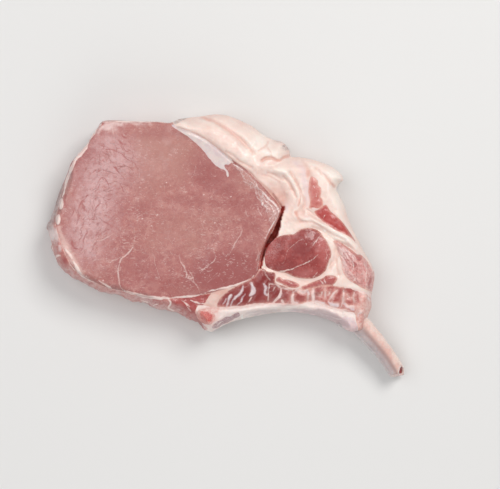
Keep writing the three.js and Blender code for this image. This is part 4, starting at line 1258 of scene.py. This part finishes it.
WRINKLES = [
    (0.1, [
        (-59.5, 48), (-57.5, 48.3), (-55.5, 47.5), (-51.5, 46), (-48.5, 43), (-45, 41), (-43.8, 39),
        (-43.5, 36.5)
    ]),
    (0.1, [(-56.5, 40.5), (-55, 39.5), (-52, 35.5), (-49.5, 33)]),
    (0.1, [(-64.5, 28.5), (-60.8, 34), (-58.5, 32), (-57.8, 30)]),
    (0, [(-55.5, 32.5), (-53.5, 32), (-51.5, 31), (-49.5, 30.5), (-47.5, 29.5)]),
    (0.1, [(-69.5, 23.5), (-69, 24.5), (-68, 25.2)]), (0.1, [(-73.5, 17.5), (-71, 22), (-70, 23)]),
    (0.1, [(-65, 17), (-62.5, 21), (-62, 23)]), (0.1, [(-61.5, 25), (-60.5, 24.3), (-60, 23), (-59, 22.5)]),
    (0, [(-59, 24), (-57.5, 23), (-56.5, 23.5)]), (0.1, [(-54.5, 53.5), (-51, 50.7), (-49, 50.5)]),
    (0.1, [(-52, 55.5), (-50.5, 54), (-49, 53.5)]), (0, [(-52.5, 51), (-50.5, 49), (-49, 47), (-47, 47.5)]),
    (0, [(-55, 50), (-53, 48.5), (-51.5, 48.5)]),
    (0.1, [(-62, 13.5), (-60.5, 12), (-58.5, 11.5), (-56, 9.5)]), (0, [(-57.5, 12), (-55, 15.3)]),
    (0, [(-70.5, 10), (-69, 8.5), (-68.5, 7), (-69.2, 5), (-70.5, 3), (-70, 1), (-71.5, -2.5)]),
    (0.15, [(-77, 5), (-76, 3), (-76, 0.5), (-74.5, -1.5), (-73.5, -1.5)]), (0, [(-74, 7.5), (-71, 6)]),
    (0, [(-67, 42.5), (-65.5, 44), (-64, 43)]), (0, [(-66.5, 36), (-63.5, 38)]),
    (0, [(-76, 26), (-74.5, 28), (-73.8, 30)]), (0.1, [(-74, 10.5), (-72.2, 15.5)]),
    (0.1, [(-76.5, 14.5), (-75.5, 17), (-75.5, 19)]), (0.1, [(-79.5, 20), (-79.5, 24), (-79, 26)]),
    (0, [(-68.5, 15), (-68, 17), (-67, 18.5)]), (0, [(-59, 16.5), (-55.5, 18)]),
    (0, [(-48.5, 53), (-47, 51), (-47, 49)]), (0, [(-46, 47.5), (-45.5, 45), (-43.5, 43)]),
    (0, [(-62, 46.5), (-59.5, 50)]), (0.1, [(-52.5, 31.5), (-51, 29), (-50.5, 26.5)]),
    (0, [(-48.5, 37), (-47, 35), (-45.5, 34.5)]), (0, [(-60.5, 7), (-58.5, 8), (-56, 7.5)]),
    (0, [(-78.5, 16), (-77.5, 13.5), (-78, 11)]),
]
RIM_FAT = [
    (0.5, [(-61.5, 60.5), (-64.2, 57.8), (-67.8, 52)]), (1, [(-67.5, 52.5), (-69.2, 49.7), (-74.7, 42.5)]),
    (0.85, [(-74.4, 42.5), (-77.7, 36.5), (-80, 29)]), (0.4, [(-80, 29.5), (-80.9, 24.5)]),
    (0.6, [(-79.5, -1), (-76, -6)]), (0.6, [(-75.5, -7.5), (-71.5, -14), (-69.5, -16)]),
    (0.35, [(-69.5, -16.2), (-65.5, -17.8)]), (0.5, [(-62.5, -17.5), (-56.5, -21.2)]),
    (0.6, [(-50, -22.5), (-36.5, -25.8), (-28.5, -26)]),
    (0.35, [(-28.5, -26), (-13.5, -24.5), (-9.5, -23.5)]),
    (0.35, [(-60.5, 61.7), (-37.5, 62.1), (-26.5, 61.5)]),
    (0.4, [(-10, -22.8), (-3.5, -21.7), (7, -19), (12, -16.8), (14.5, -14.5)]),
]
BEADS = [(-81.6, 21, 1.2, 2.6, 1.6), (-83, 13.2, 1.2, 2.4, 1.6)]
THREADS = [
    (0.45, [(2.5, 42.5), (5, 40.2), (7.5, 38.8), (10, 36.7)]), (0.35, [(10, 37), (15, 31.5), (16.8, 28.5)]),
    (0.35, [(5.5, 39), (8, 36.5), (9.5, 33.5), (11.5, 31)]),
    (0.3, [(10.5, 36), (11.5, 33), (14, 31), (15.5, 28)]), (0.45, [(15.5, 30), (22.5, 23.5)]),
    (0.4, [(18.5, 26), (20, 23), (25.5, 18.2)]), (0.5, [(21, 24.5), (26, 19.5), (27.3, 17)]),
    (0.35, [(15.5, 28), (16, 24.5), (18, 22.5), (18.5, 20)]),
    (0.35, [(16.5, 26), (18.5, 23.5), (19.5, 20), (22, 18)]),
    (0.3, [(21.5, 21.5), (23.5, 18.5), (24, 15), (23.5, 12)]),
    (0.45, [(26, 18.5), (26.7, 15.5), (24.5, 9.7)]), (0.42, [(27.5, 19), (26.6, 16), (20.3, 4), (19.2, 0)]),
    (0.36, [(19, -1), (17.3, -4.5), (16.9, -8.5), (16, -12)]), (0.3, [(19, 21.5), (20.5, 19), (21, 16.5)]),
    (0.25, [(22.5, 21), (24.5, 17), (25, 13.5)]),
]


def eye_relief(x, y, far):
    gap = nearest(x, y, smooth(SILVER, step=1), True)[0]
    silver = ease(np.where(inside(x, y, smooth(SILVER, step=1)), gap, -gap), -0.5, 0.6)
    wet = ridge(x, y, [(-64, 38), (-60, 20), (-62, 8)], 16)
    z = 0.25 * silver + 0.3 * swell(x, y, 12, 61) + 0.1 * swell(x, y, 4, 62) + 0.04 * wet * swell(x, y, 2, 63)
    z += sum(0.4 * ridge(x, y, points, width + 0.4) for width, points in RIM_FAT[1:7])
    z += sum(0.2 * ridge(x, y, points, 0.6) for _, points in THREADS)
    return z + sum(mound(np.hypot((x - px) / wide, (y - py) / high), 1) for px, py, wide, high, _ in BEADS)


loin_eye = cut_piece("loin_eye", EYE, eye_relief)
paint(
    loin_eye,
    # the milky film on the left side, pale partly with its own colour and partly as a painted sheen
    milky=spots(loin_eye, [
        (-62, 33, 11, 13, 1.1), (-70, 8, 8, 13, 0.95), (-50, 43, 10, 8, 0.8), (-61, 14, 6, 9, 0.7),
        (-66, -3, 6, 6, 0.45), (-58, 52, 8, 5, 0.6), (-68, 20, 7, 8, 0.3)
    ]),
    frost=spots(loin_eye, [
        (-41, 53, 2.5, 3.5, 1), (-22, 46, 2.5, 6, 1), (-38, 44, 4, 4, 0.6), (-44, 15, 4, 5, 0.6),
        (2, -3, 12, 8, 0.8), (3, -14, 15, 7, 0.35), (-18, -13, 10, 8, 0.9), (-59, 58, 5, 2, 0.6),
        (-56, -12, 8, 5, 0.5), (-8, 12, 9, 8, 0.5)
    ]),
    dusk=spots(loin_eye, [
        (4, -13, 18, 9, 1), (9, 22, 9, 5, 0.5), (-8, 32, 9, 5, 0.7), (4, -7, 6, 5, 0.8), (-6, -8, 9, 4, 0.5),
        (-8, -14, 6, 4, 0.4), (13, 10, 4, 6, 0.5), (2, 28, 6, 4, 0.5), (-65, 46, 5, 8, 0.9),
        (-51, 22, 6, 10, 0.3), (-20, -19, 24, 6, 0.6), (-56, -13, 8, 4, 0.15), (14, -4, 5, 8, 0.35),
        (-45, -10, 12, 8, 0.4), (-10, 40, 12, 6, 0.6), (-75, 40, 4, 9, 0.5), (-34, 56, 14, 2.5, 0.5),
        (-14, 22, 12, 2.5, 0.5), (-40, 18, 6, 4, 0.4)
    ]),
    warm=spots(loin_eye, [
        (-40, 48, 7, 9, 0.5), (-22, 38, 4, 10, 0.6), (-36, 0, 6, 5, 0.4), (-15, 0, 5, 5, 0.5),
        (10, 31, 7, 5, 0.7), (-64, -14, 7, 3, 0.5), (-19, -21, 9, 2.5, 0.6), (17, -1, 3, 6, 0.5),
        (-78, 28, 3, 8, 0.6), (-28, 47, 18, 12, 1), (-24, 8, 16, 10, 0.6), (-36, 30, 10, 10, 0.5),
        (-5, 14, 10, 6, 0.4)
    ]),
    vein=lines(loin_eye, [(width - 0.14 * (k > 2), points) for k, (width, points) in enumerate(VEINS)]),
    speck=spots(loin_eye, [(px, py, 0.5, 0.4, 1.2) for px, py in FLECKS]),
    silver=patch(loin_eye, SILVER, 0.8, 0.3),
    thread=lines(loin_eye, [(width - 0.18, points) for width, points in THREADS], 0.6),
    crack=lines(loin_eye, [(width + 0.16, points) for width, points in WRINKLES], 0.7),
    haze=patch(loin_eye, [
        (2.5, 43), (8, 39), (24.5, 23.5), (28, 19), (27.3, 15), (25.5, 9), (24, 10), (21, 17), (17, 22),
        (15.8, 27), (9.5, 31.5), (7.5, 36.5), (4, 40.5)
    ], 1.2, 0.8),
    peach=lines(loin_eye, [(1.3, [(-82.5, 9.5), (-80.5, 2.7), (-70.5, -14.8), (-68.5, -16.8)])], 1.6),
    fat=np.maximum(lines(loin_eye, RIM_FAT), spots(loin_eye, BEADS) * (1 - loin_eye.side)),
    corner=patch(loin_eye, [
        (-61.5, 60), (-57.5, 61.3), (-51.5, 62), (-44.5, 62.3), (-37.5, 62.5), (-37.5, 61.6), (-44.5, 61.2),
        (-50.5, 60), (-54, 59.5), (-55.5, 58.3), (-59.5, 57.7), (-63.5, 56.7)
    ], 2.4, 1.2),
    # painted shade: the eye's edge darkens to dark red where it drops into the slit
    slit=ridge(loin_eye.x, loin_eye.y, [
        (22.5, 27), (29, 19), (27.3, 16), (25.8, 11.5), (23.5, 6.7), (20.5, 1.5), (17, -9.5)
    ], 1.0)
    * ease(loin_eye.far, 1.1, 0.1),
    # painted shade along the edge of the eye where it rolls down beside the slit
    roll=ridge(
        loin_eye.x, loin_eye.y, [(23.5, 6.7), (20.5, 1.5), (17.4, -8)], 2.6
    ) * ease(loin_eye.far, 4, 0.4),
)


def eye_extra(tree, colour, height):
    milky, silver = shown(tree, "milky"), torn(tree, "silver", 1.0, 0.25)
    colour = laid(
        tree, colour,
        ("warm", 0.75, (0.46, 0.215, 0.18)),
        ("dusk", 0.85, (0.31, 0.075, 0.072)),
    )
    film = add(
        tree, "TexNoise", {"Vector": slice_place(tree, 0.5), "Scale": 0.3, "Detail": 5, "Roughness": 0.65}
    ).outputs[0]
    fine = add(
        tree, "TexNoise", {"Vector": slice_place(tree, 0.5), "Scale": 0.8, "Detail": 5, "Roughness": 0.7}
    ).outputs[0]
    # the milky film, pale with its own colour and with a painted sheen
    cover = times(tree, between(tree, film, 0.38, 0.54, 0.5, 1.0), between(tree, fine, 0.36, 0.54, 0.85, 1.0))
    cover = times(tree, milky, cover)
    colour = over(tree, cover, colour, (0.58, 0.335, 0.33))
    turn = between(
        tree, add(tree, "SeparateXYZ", {0: slice_place(tree, 1)}).outputs[1], 12.0, 46.0, -1.0, 0.6
    )
    wrinkles = use(tree, wrinkling, Size=2.2, Turn=turn, Width=0.11)
    shaky = times(tree, milky, between(tree, film, 0.65, 0.45, 0.15, 0.7))
    cracks = sums(
        tree, "MAXIMUM", times(tree, wrinkles["Lines"], shaky), torn(tree, "crack", 0.8, 0.25, 1.0, 0.15)
    )
    colour = over(tree, cracks, colour, (0.38, 0.105, 0.1))
    patchy = shown(tree, "frost", 0.68)
    strokes = use(tree, dashing, Size=0.5, Amount=1.1)["Strokes"]
    colour = over(tree, times(tree, strokes, patchy), colour, (0.76, 0.55, 0.51))
    wide = use(tree, netting, Size=7.0, Width=0.022, Shown=0.5)["Threads"]
    colour = over(tree, times(tree, wide, 0.35), colour, (0.78, 0.55, 0.52))
    veins = torn(tree, "vein", 0.75, 0.3, 0.7, 0.14)
    colour = over(tree, veins, colour, (0.76, 0.54, 0.5))
    colour = laid(
        tree, colour,
        ("speck", 0.6, (0.84, 0.66, 0.62), 0.5, 0.8, 0.2),
        ("haze", 0.3, (0.62, 0.38, 0.34), 0.8, 1.5, 0.4),
    )
    net = times(tree, use(tree, netting, Size=2.2, Width=0.06, Shown=0.7)["Threads"], shown(tree, "haze"))
    threads = sums(tree, "MAXIMUM", torn(tree, "thread", 0.85, 0.5, 0.6, 0.16), times(tree, net, 0.6))
    colour = over(tree, threads, colour, (0.88, 0.74, 0.71))
    colour = laid(
        tree, colour,
        ("peach", 0.75, over(tree, film, (0.62, 0.37, 0.33), (0.82, 0.6, 0.54)), 0.5, 1.6, 0.35),
        ("corner", 0.8, (0.78, 0.58, 0.55), 1.0, 1.6, 0.5),
    )
    skin = over(tree, cloudy(tree, 4.0, 5.0), (0.62, 0.49, 0.5), (0.71, 0.6, 0.56))
    colour = over(tree, silver, colour, skin)
    # painted shade where the eye's edge rolls down beside the slit and drops into it
    colour = laid(
        tree, colour,
        ("roll", 0.3, (0.52, 0.21, 0.17)),
        ("slit", 0.85, (0.4, 0.04, 0.03)),
    )
    height = times(tree, height, sums(tree, "SUBTRACT", 1.0, silver))
    height = sums(tree, "ADD", height, times(tree, wrinkles["Height"], times(tree, milky, 0.15)))
    height = sums(tree, "SUBTRACT", height, times(tree, cracks, 0.12))
    raised = sums(tree, "ADD", veins, threads)
    return colour, sums(tree, "ADD", height, times(tree, raised, 0.2))


pale = muscle(
    "loin muscle", (0.395, 0.124, 0.116), (0.33, 0.083, 0.081), (0.55, 0.27, 0.235), bundle=0.8, strokes=0.9,
    border=0.05, wander=0.7, net=0.2, extra=eye_extra, depth=0.1
)
done(loin_eye, pale)

# ---- Muscle round the edge ----
# A thin band of muscle runs round the end of the loin and along the chine side. It slopes down to the board
# under a torn white film, pale where the film is thick and dark red towards the head of the rib.

# the wedge of fat that the band ends at, in front of the head of the rib
fat_wedge = cut_piece("fat_wedge", [
    (-14, -31), (-12, -30), (-10, -28.5), (-9, -26.8), (-6.5, -23), (-6.5, -21.5), (-2.5, -20), (3.5, -17),
    (5.5, -19.5), (0.5, -23.5), (-2, -30), (-3, -34), (-8, -33)
], plump(0.5, 2, (0.25, 2, 71)))


EDGE_FAT = [
    *RIM_FAT[1:10], (0.4, [(-28.5, -26), (-27, -28.5), (-28.5, -31), (-26, -32.5)]),
    (0.4, [(-17, -27), (-13, -28.5), (-9.5, -29)]), (0.5, [(-85.2, -5.8), (-83.5, -5), (-82, -5)]),
    (0.35, [(-87.7, 3), (-86, -3)]), (0.3, [(-19, -30), (-17, -32.5)]), (0.3, [(-15, -29), (-12, -30.2)]),
    (0.4, [(-12, -22.8), (-10.2, -23.5)]), (0.3, [(-77.5, -8), (-74.5, -12)]),
    (0.3, [(-42.5, -27), (-38.5, -28.5)]), (0.3, [(-32.5, -28.5), (-36, -30)]),
    (0.3, [(-21.5, -27), (-17.5, -30)]),
]


def edge_relief(x, y, far):
    strings = 0.5 * ridge(x, y, [(-26, -26.5), (-24, -29.5), (-25, -33)], 0.8)
    strings += 0.6 * ridge(x, y, [(-17, -27), (-10, -29)], 0.8)
    return strings + 0.8 * swell(x, y, 4, 72) + 0.4 * swell(x, y, 1.8, 73) + 0.15 * swell(x, y, 0.9, 74)


edge_muscle = cut_piece("edge_muscle", [
    (-92, 30), (-78, 31), (-70, -2), (-45, -20), (-13, -22), (-5, -22), (-7, -34), (-9.5, -46), (-45, -46),
    (-80, -30), (-95, 0)
], edge_relief)
side = edge_muscle.side
dull = ease(edge_muscle.edge, 5, 1.5) * ease(edge_muscle.x, -79, -82) * ease(edge_muscle.y, 6, 10)
paint(
    edge_muscle,
    fat=np.maximum(lines(edge_muscle, EDGE_FAT), spots(edge_muscle, BEADS) * (1 - side)),
    peach=lines(edge_muscle, [(1.1, [
        (-82.7, 9.5), (-81.7, 6), (-80.5, 2.7), (-78.8, -0.8), (-76.8, -4.5), (-74.5, -8.5), (-72.5, -11.8),
        (-70.5, -14.8), (-68.5, -16.8)
    ])], 1.6),
    white=spots(edge_muscle, [(-83.8, 5.5, 1.6, 4.4, 0.9), (-82, -1.5, 1.4, 3, 0.6)]) * (1 - 0.6 * side)
    + patch(edge_muscle, [
        (-88, 11), (-85.8, 10.7), (-85.6, 6), (-86.2, 2.5), (-87.5, 3), (-88.8, 7)
    ], 1.2, 0.5),
    dull=dull * (1 - 0.4 * side),
    film=ease(edge_muscle.edge, 6, 1) * ease(edge_muscle.x, -10, -24) * ease(edge_muscle.x, -84, -76),
    dusk=patch(edge_muscle, [
        (-26.5, -27), (-20, -25.5), (-8, -23), (-8, -33), (-12, -40), (-17, -36), (-24, -31)
    ], 2, 1)
    + spots(edge_muscle, [
        (-36, -28.6, 5, 2.4, 1.1), (-15, -28, 5, 4, 0.8), (-13, -37, 4, 4, 0.8), (-80, -7.5, 2.5, 2.4, 1),
        (-82, 0, 2, 3, 0.4), (-70, -18.5, 5, 1.2, 0.8), (-56, -23.6, 8, 1, 0.6)
    ]),
)


def edge_extra(tree, colour, height):
    cloud = cloudy(tree, 2.5, 5.0)
    colour = over(tree, shown(tree, "dusk", 0.9), colour, (0.36, 0.05, 0.047))
    film = times(tree, shown(tree, "film"), between(tree, cloud, 0.25, 0.75, 0.15, 0.95))
    colour = over(tree, film, colour, (0.61, 0.35, 0.33))
    colour = laid(
        tree, colour,
        ("peach", 0.75, over(tree, cloud, (0.62, 0.37, 0.33), (0.82, 0.6, 0.54)), 0.5, 1.6, 0.35),
        ("white", 0.8, (0.82, 0.67, 0.65), 0.5, 1.4, 0.25),
    )
    dull = over(tree, cloud, (0.27, 0.16, 0.15), (0.45, 0.32, 0.31))
    return over(tree, shown(tree, "dull", 0.9), colour, dull), height


edge = muscle(
    "edge muscle", (0.5, 0.165, 0.15), (0.42, 0.11, 0.1), (0.65, 0.35, 0.31), border=0.15, wander=0.9,
    net=0.4, extra=edge_extra, depth=0.15
)
done(edge_muscle, edge)

# ---- Fat ----
# Thick white back fat in two round lobes, with a thin flap beyond them, runs on between the belly muscles and
# wraps the dark ones. It is firm and waxy, pink where it is thin, and folds deeply where the eye has come
# away from it.
SLIT_FLOOR = 7  # height of the deepest place in the slit
SLIT = [
    (28.3, 18.8), (25, 9), (18.8, -2), (16.9, -10), (17.7, -11.4), (20, -2.5), (23.5, 2.5), (25.5, 4.5),
    (27.3, 9.5), (27.7, 12.5), (29.1, 17.2), (29.7, 18.8), (29.1, 19.8)
]
FINE_FOLDS = [
    (-0.9, 0.6, [(29, 34.5), (31.5, 32), (35.5, 24.5)]), (-0.6, 0.6, [(21.5, 36.5), (25.5, 35), (29, 33)]),
    (-0.6, 0.5, [(0.5, 47), (4, 44.8), (7.5, 42), (13.5, 39)]), (0.6, 0.7, [(11.5, 47.5), (17, 54)]),
    (-0.5, 0.6, [(35, 16.5), (36, 14.5), (38.5, 12.5)]),
    (-0.9, 0.5, [(35, 33), (37, 28.5), (37.5, 24), (36.5, 20)]),
    (-0.6, 0.5, [(40.5, 18.5), (45, 15.5), (48.5, 12)]), (-0.5, 0.6, [(54.5, 1.5), (56, -2), (56.5, -5.5)]),
    (-0.6, 0.5, [(55.5, -7), (56, -11), (57, -14.5)]), (-0.6, 0.5, [(53, -8), (52.5, -11)]),
    (-0.3, 0.5, [(16.5, 47), (21, 50.5), (21.5, 52)]), (-0.3, 0.5, [(21, 49.5), (22.5, 47), (23, 45)]),
    (0.6, 0.6, [(40, 16), (49.5, 9.5)]),
    (-0.6, 0.5, [(37.5, 12), (42.5, 12), (47.5, 10), (52.5, 6.5), (60, 3)]),
    (0.3, 0.5, [(37.5, 33), (38, 28), (39.5, 24.5)]), (0.6, 0.6, [(22.5, 40), (25.5, 40.5), (28, 42.5)]),
    (-0.3, 0.5, [(18.5, 35.5), (22.5, 34.5), (27, 32)]),
]


def fat_relief(x, y, far):
    z = 0.3 * swell(x, y, 3.2, 81) + 0.12 * swell(x, y, 1.3, 82)
    return z + sum(rise * ridge(x, y, points, width) for rise, width, points in FINE_FOLDS)


def slit_floor(x, y):
    # deep in the middle of the slit and shallower towards both ends, most of all towards the lower one
    return SLIT_FLOOR + 10 * ease(np.abs(y - 4.5), 4, 13) + 3 * ease(-y, 2, 9) + swell(x, y, 2, 7)


slit_loop = smooth(SLIT)
fat_cap = cut_piece("fat_cap", None, fat_relief, sunk=(slit_floor, slit_loop))
in_slit = inside(fat_cap.x, fat_cap.y, slit_loop) | (nearest(fat_cap.x, fat_cap.y, slit_loop, True)[0] < 0.2)
# the folds that have pink along their bottom, partly the fat's own colour and partly painted warm shade
GROOVES = [FOLDS[0][2], FOLDS[3][2], FOLDS[5][2], FOLDS[2][2], FOLDS[8][2], FOLDS[9][2]]
paint(
    fat_cap,
    pink=lines(
        fat_cap,
        [(0.3, points) for points in GROOVES] + [(0.2, points) for rise, _, points in FINE_FOLDS if rise < 0],
        1.1
    )
    + lines(fat_cap, [(0.8, [(39, 42), (42, 37), (43, 34.5)])], 2) + spots(fat_cap, [
        (21, 43.5, 4, 1.2, 0.6), (28, 24.5, 4, 4.5, 0.5), (50, -1.5, 3, 4, 0.2), (30, 30, 6, 3, 0.25)
    ]),
    orange=lines(fat_cap, [
        (0.5, [(-12, 64.5), (-7.5, 62.8)]), (0.4, [(25.5, 42.7), (27.5, 42.6), (29, 44), (32.2, 45.3)]),
        (0.6, [(50.8, 33.8), (54.2, 29.8)]), (0.4, [(35, 16.8), (36, 14.5), (38, 12.5)])
    ], 1.2)
    + spots(fat_cap, [
        (41.3, 36, 1.1, 2.2, 1), (37, 21, 1.3, 3, 0.7), (35.5, 16.8, 1, 1, 0.7), (37.4, 39.8, 2.6, 1, 0.5)
    ]),
    lilac=lines(fat_cap, [(1.5, [
        (36, 41), (38.5, 38.7), (39.5, 36), (39.5, 33), (41, 25), (40.8, 20.5)
    ])], 1.6)
    + spots(fat_cap, [(30.5, 19, 1.5, 3.4, 0.8), (34, 42.4, 4, 1.5, 0.4)]),
    membrane=(1 - fat_cap.side) * patch(fat_cap, [
        (-25.5, 62.5), (-18.5, 64.8), (-14.5, 65), (-19.5, 63.7), (-21.5, 62.5), (-23, 60.5), (-25, 60.5)
    ], 0.8, 0.4)
    + (1 - fat_cap.side) * spots(fat_cap, [(30.5, 49.5, 2.4, 2.2, 0.9), (26, 52.4, 3, 0.8, 0.5)]),
    # painted shadow in the valley by the top of the slit and along the seam with the eye
    shadow=spots(fat_cap, [(27.6, 23.4, 2.6, 2.4, 1), (29, 19.6, 1.4, 2.4, 1), (24, 27.4, 3, 1.6, 0.6)])
    + ridge(fat_cap.x, fat_cap.y, [(2, 43.5), (5, 41), (12.5, 36), (15.5, 33), (22.5, 27), (29, 19.2)], 0.7),
    # paler fat on the lobes, and painted highlights along the ridges of the folds
    bright=spots(fat_cap, [
        (47.5, 31.5, 4, 5, 0.5), (27, 34, 4, 3, 0.5), (17, 52.5, 5, 5, 1), (12, 46, 3, 4, 0.9),
        (54, 35, 5, 4, 0.9), (33, 33, 2, 3, 0.5), (56, 24, 4, 7, 0.8), (24, 46, 5, 2.4, 0.9),
        (53, -15, 3, 5, 0.6), (57, 4, 7, 4, 1), (31, 8, 4, 4, 0.6), (65, -20, 5, 3, 0.8), (52, 8, 5, 2, 0.6),
        (37, 27, 1, 5, 0.5), (26, 37.6, 4, 1, 0.6)
    ])
    + 0.8 * lines(fat_cap, [
        (0.35, [(27, 39.5), (30.5, 37), (35.5, 28), (34, 15.5)]),
        (0.3, [(36.5, 31.5), (39.2, 26), (39, 20.5), (40.5, 16)]),
        (0.3, [(40, 13.5), (46.5, 8.5), (53.5, 5), (59.5, 1.5)])
    ], 0.7),
    # the floor and walls of the slit painted bright red
    slit=1.0 * in_slit,
    lean=patch(fat_cap, [
        (16.5, -12.5), (18.6, -9), (19.8, -4), (21.4, 0), (24, 3.4), (26.8, 5.4), (25.5, 7), (18.5, -4)
    ], 0.5, 0.3),
    # a thin dark painted shadow where the top of the slit closes to a crack
    cleft=ridge(fat_cap.x, fat_cap.y, [(24, 26), (28.2, 20)], 0.4),
)


def fat_look(tree):
    cloud = cloudy(tree, 9.0, 4.0)
    small = cloudy(tree, 2.0, 5.0)
    colour = over(tree, cloud, (0.78, 0.57, 0.51), (0.84, 0.66, 0.59))
    colour = over(tree, times(tree, small, 0.25), colour, (0.82, 0.58, 0.51))
    # painted highlights on what stands proud and along the fold ridges, over the paler fat of the lobes
    colour = laid(
        tree, colour,
        ("proud", 0.7, (0.89, 0.76, 0.69)),
        ("bright", 1, (0.9, 0.79, 0.72)),
        ("lilac", 0.7, (0.76, 0.59, 0.585), 0.5, 1.5, 0.4),
        ("pink", 0.6, (0.68, 0.38, 0.31), 0.5, 1.2, 0.35),
        ("orange", 0.55, (0.72, 0.33, 0.25), 0.5, 1.2, 0.4),
    )
    dark = over(tree, small, (0.3, 0.2, 0.18), (0.74, 0.62, 0.58))
    colour = over(tree, torn(tree, "membrane", 0.85, 0.9, 1.0, 0.35), colour, dark)
    rim = sums(tree, "SUBTRACT", shown(tree, "rim"), 0.35)
    meaty = use(tree, ragging, Mask=rim, Size=1.4, Wander=0.8, Soft=0.4)["Mask"]
    colour = over(tree, times(tree, meaty, 0.38), colour, (0.78, 0.48, 0.42))
    # painted shadow by the slit and along the seam with the eye, and a thin dark painted shadow in the crack
    # at the slit's top
    colour = laid(
        tree, colour,
        ("lean", 1, (0.42, 0.13, 0.125)),
        ("shadow", 0.5, (0.5, 0.2, 0.15)),
        ("cleft", 1, (0.2, 0.03, 0.022)),
        ("slit", 1, (0.9, 0.04, 0.03)),
    )
    side = over(tree, cloud, (0.8, 0.6, 0.54), (0.87, 0.74, 0.68))
    colour = over(tree, shown(tree, "side", 0.5), colour, side)
    return colour, times(tree, small, 0.1)


# the fat's painted shade in its hollows is a warm pink brown
fat = finish("raw fat", fat_look, (0.74, 0.45, 0.38), rough=(0.4, 0.55), coat=(0.0, 0.25), **PALE_GLOW)
done(fat_cap, fat)
# the whole wedge is darkened evenly with the same tint, and has pink spots
paint(fat_wedge, shadow=0.5, pink=spots(fat_wedge, [(-9, -30, 4, 1.2, 0.7), (-2, -22.5, 5, 2.4, 1)]))
done(fat_wedge, fat)

# ---- Floor, light and camera ----
# A plain pale floor, soft window light from the upper right and a weaker one from the left, and a camera that
# looks straight down, as the photograph was taken.
mesh = bpy.data.meshes.new("floor")
mesh.from_pydata([(-3, -3, 0), (3, -3, 0), (3, 3, 0), (-3, 3, 0)], [], [(0, 1, 2, 3)])
floor = bpy.data.objects.new("floor", mesh)
bpy.context.collection.objects.link(floor)
floor.location.z = -0.0003
paper = bpy.data.materials.new("pale paper")
paper.use_nodes = True
paper.node_tree.nodes["Principled BSDF"].inputs["Base Color"].default_value = (0.72, 0.71, 0.7, 1)
paper.node_tree.nodes["Principled BSDF"].inputs["Roughness"].default_value = 0.8
mesh.materials.append(paper)


def soft_light(name, place, size, power, colour):
    light = bpy.data.lights.new(name, "AREA")
    light.size, light.energy, light.color = size, power, colour
    lamp = bpy.data.objects.new(name, light)
    bpy.context.collection.objects.link(lamp)
    lamp.location = place
    aim = -lamp.location
    lamp.rotation_euler = aim.to_track_quat("-Z", "Y").to_euler()


soft_light("window", (0.5, 0.6, 1.0), 0.55, 8.8, (1, 0.99, 0.97))
soft_light("left panel", (-0.55, 0.15, 1.0), 0.8, 4.1, (0.98, 0.99, 1))
soft_light("low fill", (0.1, -0.9, 0.6), 0.8, 2.4, (1, 0.99, 0.98))
world = bpy.data.worlds.new("studio")
world.use_nodes = True
world.node_tree.nodes["Background"].inputs["Color"].default_value = (0.98, 0.99, 1, 1)
world.node_tree.nodes["Background"].inputs["Strength"].default_value = 0.4
scene = bpy.context.scene
scene.world = world
scene.view_settings.view_transform = "Standard"

# in metres: how much the photograph spans at the face, from how high above it, and the height of the face
VIEW_WIDTH, VIEW_HEIGHT, FACE = 0.25, 1.2, 0.018
SENSOR_WIDTH = 36  # the camera's own, in millimetres
camera = bpy.data.objects.new("camera", bpy.data.cameras.new("camera"))
bpy.context.collection.objects.link(camera)
camera.location = ((12.5 - MIDDLE[0]) / 1000, (0.75 - MIDDLE[1]) / 1000, FACE + VIEW_HEIGHT)
camera.data.lens = SENSOR_WIDTH * VIEW_HEIGHT / VIEW_WIDTH
scene.camera = camera
